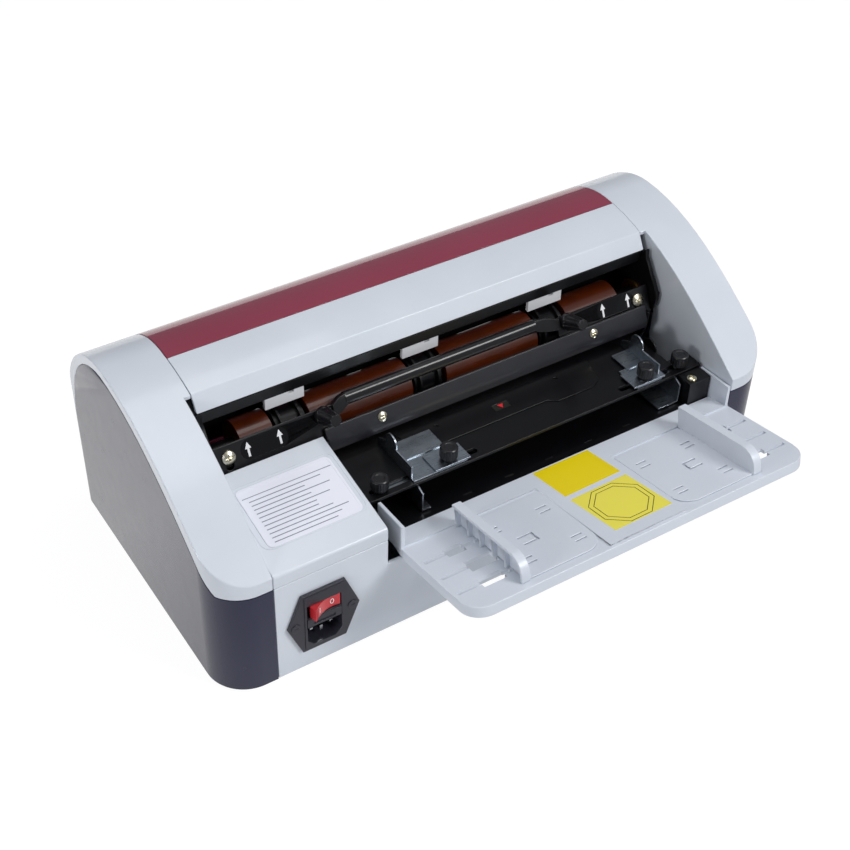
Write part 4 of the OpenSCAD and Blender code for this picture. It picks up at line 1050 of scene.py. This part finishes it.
@dataclass(frozen=True)
class Arrow:
    """An upward arrow printed on the push bar, in the bar's millimetres."""

    x: float
    low: float
    high: float
    head: Spot = (4.3, 4.5)
    shaft: float = 1.5

    def outline(self) -> list[Spot]:
        """Works out the arrow's shape.

        Returns:
            Its corners, anticlockwise.
        """
        wide, thin = self.head[0] / 2, self.shaft / 2
        neck = self.high - self.head[1]
        return [
            (self.x - thin, self.low),
            (self.x + thin, self.low),
            (self.x + thin, neck),
            (self.x + wide, neck),
            (self.x, self.high),
            (self.x - wide, neck),
            (self.x - thin, neck),
        ]


@dataclass
class Steelwork:
    """The black frame: plates, brackets, bars and beds."""

    frame: dict
    sheet_edge: float = 0.35 * MM
    bar_edge: float = 0.5 * MM
    knob_edge: float = 0.25 * MM
    enamelled: tuple[str, ...] = (
        "left_frame_plate",
        "right_frame_plate",
        "lip_plate",
        "left_bed_bracket",
        "right_end_bracket",
        "upper_bed",
        "bed_insert",
        "lower_bed",
        "end_block",
    )
    fittings: tuple[tuple[str, Look], ...] = (
        ("cross_bar_screws", Look.BRASS),
        ("push_bar_screws", Look.BRASS),
        ("end_block_screw", Look.BRASS),
        ("tie_rods", Look.STEEL),
        ("pressure_springs", Look.SPRING),
        ("centre_mark", Look.INK),
        ("clear_strippers", Look.CLEAR),
        ("rear_guide", Look.ENAMEL),
        ("exit_plates", Look.STEEL),
    )
    # The push bar's face leans back; its films and arrows lie on it.
    bar_at_mm: Place = (0.0, 86.365, 107.804)
    bar_tilt: float = 65.0
    # Each glossy film: the knob that stands in it, half its size and its middle.
    films_mm: tuple[tuple[str, Spot, Spot], ...] = (
        ("left_lock_knob", (16.7, 7.0), (-136.5, 3.6)),
        ("right_lock_knob", (16.1, 6.5), (143.1, 4.9)),
    )
    film_flat_mm: float = 0.3
    film_hole_mm: float = 3.0
    film_heights_mm: Span = (-0.05, 0.06)
    arrows: tuple[Arrow, ...] = (
        Arrow(-147.9, -1.1, 8.8),
        Arrow(-125.45, -0.6, 9.1),
        Arrow(131.8, 0.0, 10.1),
        Arrow(153.95, 0.5, 10.5),
    )
    arrow_heights_mm: Span = (0.0, 0.1)
    centre_arrow_mm: Outline = ((0.0, -2.2), (2.3, 1.8), (-2.3, 1.8))
    centre_heights_mm: Span = (-0.03, 0.06)

    def build(self) -> None:
        """Dresses the frame's sheets, bars, knobs and fittings."""
        sheet = [Round(self.sheet_edge)]
        for node in self.enamelled:
            dress_copy(self.frame, node, Look.ENAMEL, sheet)
        dress_copy(self.frame, "cross_bar", Look.BAR, [Round(self.bar_edge)])
        dress_copy(self.frame, "push_bar", Look.GRIP, [Round(self.bar_edge)])
        for node in ("left_lock_knob", "right_lock_knob"):
            dress_copy(self.frame, node, Look.KNOB, [Round(self.knob_edge)])
        for node, look in self.fittings:
            dress_node(self.frame, node, look)
        self.push_marks()
        self.centre_arrow()

    def centre_arrow(self) -> None:
        """Puts the red triangle, pointing forwards, on the black centre mark of the bed."""
        low, high = (Vector(corner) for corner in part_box("centre_mark"))
        middle = (low + high) / 2
        top = Seat(Vector((middle.x, middle.y, high.z)), Vector((1, 0, 0)), Vector((0, 1, 0)))
        mark = flat_plate(top, self.centre_arrow_mm, *self.centre_heights_mm)
        mesh = finish_mesh(mark, "centre_arrow")
        new_piece("centre_arrow", mesh, Look.MARK, "casing")

    def push_marks(self) -> None:
        """Puts the films around the lock knobs and the white arrows on the push bar."""
        bar = seat(*self.bar_at_mm, tilt=self.bar_tilt)
        films = []
        for knob, half, middle in self.films_mm:
            low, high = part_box(knob)
            offset = (Vector(low) + Vector(high)) / 2 - bar.origin
            hole = (offset.dot(bar.right) / MM, offset.dot(bar.up) / MM)
            outer = rounded_box(half, half[1] - self.film_flat_mm, middle)
            inner = polygon_points(self.film_hole_mm, len(outer), hole)
            films.append(flat_ring(bar, outer, inner, *self.film_heights_mm))
        mesh = finish_mesh(gather(films), "push_films")
        new_piece("push_films", mesh, Look.PATCH, "push_bar")
        marks = [
            flat_plate(bar, arrow.outline(), *self.arrow_heights_mm) for arrow in self.arrows
        ]
        mesh = finish_mesh(gather(marks), "push_arrows")
        new_piece("push_arrows", mesh, Look.WHITE_INK, "push_bar")


@dataclass
class Guides:
    """The zinc side guides and their thumb knobs."""

    frame: dict
    edge: float = 0.2 * MM
    guides: tuple[str, ...] = (
        "left_side_guide",
        "right_side_guide",
        "left_lower_guide",
        "right_lower_guide",
    )
    knobs: tuple[str, ...] = (
        "left_inner_knob",
        "right_inner_knob",
        "left_outer_knob",
        "right_outer_knob",
    )

    def build(self) -> None:
        """Dresses guides and knobs."""
        for node in self.guides:
            dress_copy(self.frame, node, Look.ZINC, [Round(self.edge)])
        for node in self.knobs:
            dress_copy(self.frame, node, Look.KNOB, [Round(self.edge)])


@dataclass
class CuttingTrain:
    """Shafts, rollers, gears and motor."""

    frame: dict
    parts: tuple[tuple[str, Look], ...] = (
        ("upper_shaft", Look.ENAMEL),
        ("middle_shaft", Look.STEEL),
        ("lower_shaft", Look.STEEL),
        ("upper_rollers", Look.ROLLER),
        ("shaft_bushes", Look.BRONZE),
        ("idler_gear", Look.NATURAL),
        ("motor_pinion", Look.STEEL),
        ("motor", Look.MOTOR),
        ("control_board", Look.BOARD),
        ("wiring_loom", Look.WIRE),
    )

    def build(self) -> None:
        """Dresses the turning parts and what drives them."""
        for node, look in self.parts:
            dress_node(self.frame, node, look)


@dataclass
class PowerInlet:
    """The mains inlet with its fuse drawer and rocker."""

    frame: dict
    edge: float = 0.3 * MM
    # Where the marks lie on the two slopes of the rocker, and how far each slope turns.
    off_at_mm: Place = (-140.48, -1.581, 51.3)
    off_turn: float = 1.6
    on_at_mm: Place = (-150.58, -4.475, 51.3)
    on_turn: float = 30.4
    ring_outer_mm: Spot = (1.45, 2.1)
    ring_inner_mm: Spot = (0.95, 1.6)
    ring_sides: int = 28
    bar_half_mm: Spot = (0.3, 2.1)
    mark_heights_mm: Span = (-0.05, 0.05)

    def build(self) -> None:
        """Dresses the inlet."""
        for node in ("inlet_housing", "fuse_drawer"):
            dress_copy(self.frame, node, Look.INLET, [Round(self.edge)])
        dress_node(self.frame, "inlet_pins", Look.CONTACT)
        dress_copy(self.frame, "rocker", Look.SWITCH, [Round(self.edge)])
        self.marks()

    def marks(self) -> None:
        """Prints the off ring and the on bar on the two slopes of the rocker."""
        off = seat(*self.off_at_mm, tilt=90.0, turn=self.off_turn)
        outer, inner = self.oval(self.ring_outer_mm), self.oval(self.ring_inner_mm)
        ring = flat_ring(off, outer, inner, *self.mark_heights_mm)
        on = seat(*self.on_at_mm, tilt=90.0, turn=self.on_turn)
        wide, tall = self.bar_half_mm
        bar = flat_plate(on, oblong(-wide, wide, -tall, tall), *self.mark_heights_mm)
        mesh = finish_mesh(gather([ring, bar]), "rocker_marks")
        new_piece("rocker_marks", mesh, Look.WHITE_INK, "rocker")

    def oval(self, half: Spot) -> list[Spot]:
        """Returns the outline of an oval, from half its width and half its height."""
        return [(x * half[0], y * half[1]) for x, y in polygon_points(1.0, self.ring_sides)]


@dataclass
class Tray:
    """The front tray with its two fences, their rack drive and its stickers."""

    frame: dict
    corner: float = 15 * MM
    rim: float = 2 * MM
    rim_edge: float = 0.6 * MM
    fence_edge: float = 0.4 * MM
    # The stickers lie on the strip between the fences, as corners on the tray's slope.
    tray_at_mm: Place = (44.4, 0.0, 68.5)
    tray_tilt: float = -10.5
    upper_mm: Outline = ((-21.5, -19.7), (24.3, -18.5), (22.9, 15.1), (-22.5, 15.1))
    lower_mm: Outline = ((-19.0, -67.9), (27.1, -67.3), (24.7, -23.5), (-21.2, -24.4))
    sticker_heights_mm: Span = (1.1, 1.28)
    octagon_middle_mm: Spot = (3.05, -46.2)
    octagon_radii_mm: tuple[float, ...] = (22.0, 18.5)
    octagon_first: float = 68.3
    line_width_mm: float = 0.5
    line_heights_mm: Span = (1.2, 1.32)

    def build(self) -> None:
        """Dresses the tray, the fences and the pinion."""
        rounds = [Round(self.rim_edge, where=self.on_rim)]
        dress_copy(self.frame, "tray", Look.TRAY, rounds)
        for node in ("left_fence", "right_fence"):
            dress_copy(self.frame, node, Look.TRAY, [Round(self.fence_edge)])
        dress_node(self.frame, "fence_pinion", Look.RACK)
        self.stickers()

    def on_rim(self, edge: bmesh.types.BMEdge) -> bool:
        """Says whether an edge lies in the rim of the tray's plan, round corners included.

        Args:
            edge: an edge of the tray.

        Returns:
            True for an edge in the rim.
        """
        low, high = (Vector(corner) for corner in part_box("tray"))
        reach = []
        for vertex in edge.verts:
            left = low.x + self.corner - vertex.co.x
            right = vertex.co.x - high.x + self.corner
            front = low.y + self.corner - vertex.co.y
            reach.append(math.hypot(max(left, right, 0.0), max(front, 0.0)))
        return min(reach) > self.corner - self.rim

    def stickers(self) -> None:
        """Lays the two yellow stickers on the tray's middle strip, one with two octagon lines."""
        top = seat(*self.tray_at_mm, tilt=self.tray_tilt)
        for name, outline, look in (
            ("upper_sticker", self.upper_mm, Look.YELLOW),
            ("lower_sticker", self.lower_mm, Look.PALE_YELLOW),
        ):
            mesh = finish_mesh(flat_plate(top, outline, *self.sticker_heights_mm), name)
            new_piece(name, mesh, look, "casing")
        lines = [
            flat_ring(
                top,
                self.octagon(radius),
                self.octagon(radius - self.line_width_mm),
                *self.line_heights_mm,
            )
            for radius in self.octagon_radii_mm
        ]
        mesh = finish_mesh(gather(lines), "sticker_lines")
        new_piece("sticker_lines", mesh, Look.INK, "casing")

    def octagon(self, radius: float) -> list[Spot]:
        """Returns an octagon on the lower sticker."""
        return polygon_points(radius, 8, self.octagon_middle_mm, self.octagon_first)


# ---------------------------------------------------------------- set


@dataclass(frozen=True)
class Lamp:
    """A square area lamp that looks at the machine."""

    name: str
    place: Place
    size: float
    power: float

    def build(self, target: Vector) -> None:
        """Makes the lamp.

        Args:
            target: the point that it is turned to.
        """
        data = bpy.data.lights.new(self.name, "AREA")
        data.size = self.size
        data.energy = self.power
        lamp = bpy.data.objects.new(self.name, data)
        lamp.location = self.place
        lamp.rotation_euler = (target - Vector(self.place)).to_track_quat("-Z", "Y").to_euler()
        bpy.context.scene.collection.objects.link(lamp)


@dataclass
class Studio:
    """Floor, backdrop light, lamps and camera.

    The key lamp stands to the front right, a small one to the left and a broad one overhead.
    """

    azimuth: float = 33.856
    elevation: float = 40.866
    roll: float = 1.846
    lens: float = 63.03
    sensor: float = 36.0
    position: Place = (-0.44118, -0.61749, 0.73529)
    clip: float = 10 * MM
    # To the camera the floor glows by a share, and shows the machine's shadow with the rest.
    floor_size: float = 6.0
    floor_colour: Colour = (0.95, 0.95, 0.95, 1.0)
    floor_glow: float = 1.06
    floor_share: float = 0.9
    # Reflections see it dim in front of the machine and bright behind, with these ends along Y: a
    # painted reflection, the floor glowing though it is no lamp, as a sweep lit from behind would
    # look.
    dim_until: float = -0.25
    bright_from: float = 0.1
    dim_floor: float = 0.15
    bright_floor: float = 1.0
    backdrop: float = 0.24
    backdrop_colour: Colour = (0.9, 0.93, 1.0, 1.0)
    target: Place = (0.0, 0.0, 0.05)
    lights: tuple[Lamp, ...] = (
        Lamp("key", (1.008, -1.56, 1.512), 0.8, 27.0),
        Lamp("left", (-1.18, -0.27, 0.455), 0.25, 3.0),
        Lamp("top", (0.0, 0.1, 1.5), 1.0, 6.5),
    )

    def build(self) -> None:
        """Makes the whole set."""
        self.floor()
        self.world()
        for lamp in self.lights:
            lamp.build(Vector(self.target))
        self.camera()
        bpy.context.scene.view_settings.view_transform = "Standard"

    def floor(self) -> None:
        """Makes the floor, white to the camera but with the machine's shadow, and a painted
        reflection glow, dim in front and bright behind, that only reflections see.
        """
        bm = bmesh.new()
        bmesh.ops.create_grid(bm, x_segments=1, y_segments=1, size=self.floor_size)
        mesh = bpy.data.meshes.new("floor")
        bm.to_mesh(mesh)
        bm.free()
        material = bpy.data.materials.new("white_floor")
        material.use_nodes = True
        tree = material.node_tree
        tree.nodes.clear()
        place = add_node(tree, "ShaderNodeTexCoord").outputs["Object"]
        across = add_node(tree, "ShaderNodeSeparateXYZ", links={0: place})
        behind = add_node(
            tree,
            "ShaderNodeMapRange",
            {
                "From Min": self.dim_until,
                "From Max": self.bright_from,
                "To Min": self.dim_floor,
                "To Max": self.bright_floor,
            },
            {"Value": across.outputs["Y"]},
        )
        path = add_node(tree, "ShaderNodeLightPath")
        diffuse = add_node(tree, "ShaderNodeBsdfDiffuse", {"Color": self.floor_colour})
        white = add_node(
            tree, "ShaderNodeEmission", {"Color": WHITE, "Strength": self.floor_glow}
        )
        # Painted reflection: the floor glows for glossy rays, dimmer in front of the machine than
        # behind it.
        painted_reflection = add_node(
            tree, "ShaderNodeEmission", {"Color": WHITE}, {"Strength": behind.outputs[0]}
        )
        share = add_node(
            tree,
            "ShaderNodeMath",
            {"operation": "MULTIPLY", 1: self.floor_share},
            {0: path.outputs["Is Camera Ray"]},
        )
        plain = self.mix(tree, share.outputs[0], diffuse, white)
        shader = self.mix(tree, path.outputs["Is Glossy Ray"], plain, painted_reflection)
        add_node(tree, "ShaderNodeOutputMaterial", links={"Surface": shader.outputs[0]})
        mesh.materials.append(material)
        floor = bpy.data.objects.new("floor", mesh)
        bpy.context.scene.collection.objects.link(floor)

    def mix(self, tree: Tree, share: Socket, first: Node, second: Node) -> Node:
        """Mixes two shaders by a share from 0, the first, to 1, the second."""
        links = {0: share, 1: first.outputs[0], 2: second.outputs[0]}
        return add_node(tree, "ShaderNodeMixShader", links=links)

    def world(self) -> None:
        """Makes a world that is white to the camera and through glass, and dimmer as light."""
        world = bpy.data.worlds.new("studio")
        bpy.context.scene.world = world
        world.use_nodes = True
        tree = world.node_tree
        tree.nodes.clear()
        path = add_node(tree, "ShaderNodeLightPath")
        seen = add_node(
            tree,
            "ShaderNodeMath",
            {"operation": "MAXIMUM"},
            {0: path.outputs["Is Camera Ray"], 1: path.outputs["Is Transmission Ray"]},
        )
        lit = add_node(
            tree,
            "ShaderNodeBackground",
            {"Color": self.backdrop_colour, "Strength": self.backdrop},
        )
        white = add_node(tree, "ShaderNodeBackground", {"Color": WHITE, "Strength": 1.0})
        shader = self.mix(tree, seen.outputs[0], lit, white)
        add_node(tree, "ShaderNodeOutputWorld", links={"Surface": shader.outputs[0]})

    def camera(self) -> None:
        """Makes the camera from its azimuth, elevation and roll."""
        a, e = math.radians(self.azimuth), math.radians(self.elevation)
        forward = Vector((math.cos(e) * math.sin(a), math.cos(e) * math.cos(a), -math.sin(e)))
        level = Vector((math.cos(a), -math.sin(a), 0.0))
        right = Matrix.Rotation(math.radians(-self.roll), 3, forward) @ level
        up = right.cross(forward)
        basis = Matrix((right, up, -forward)).transposed()
        data = bpy.data.cameras.new("camera")
        data.lens = self.lens
        data.sensor_width = self.sensor
        data.clip_start = self.clip
        camera = bpy.data.objects.new("camera", data)
        camera.matrix_world = Matrix.Translation(self.position) @ basis.to_4x4()
        bpy.context.scene.collection.objects.link(camera)
        bpy.context.scene.camera = camera


def main() -> None:
    """Loads the frame and builds the machine and its set."""
    logging.basicConfig(level=logging.INFO, format="%(name)s: %(message)s")
    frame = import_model()
    Studio().build()
    for section in (Casing, Steelwork, Guides, CuttingTrain, PowerInlet, Tray):
        section(frame).build()
        LOG.info("%s is done", section.__name__)


if __name__ == "__main__":
    main()
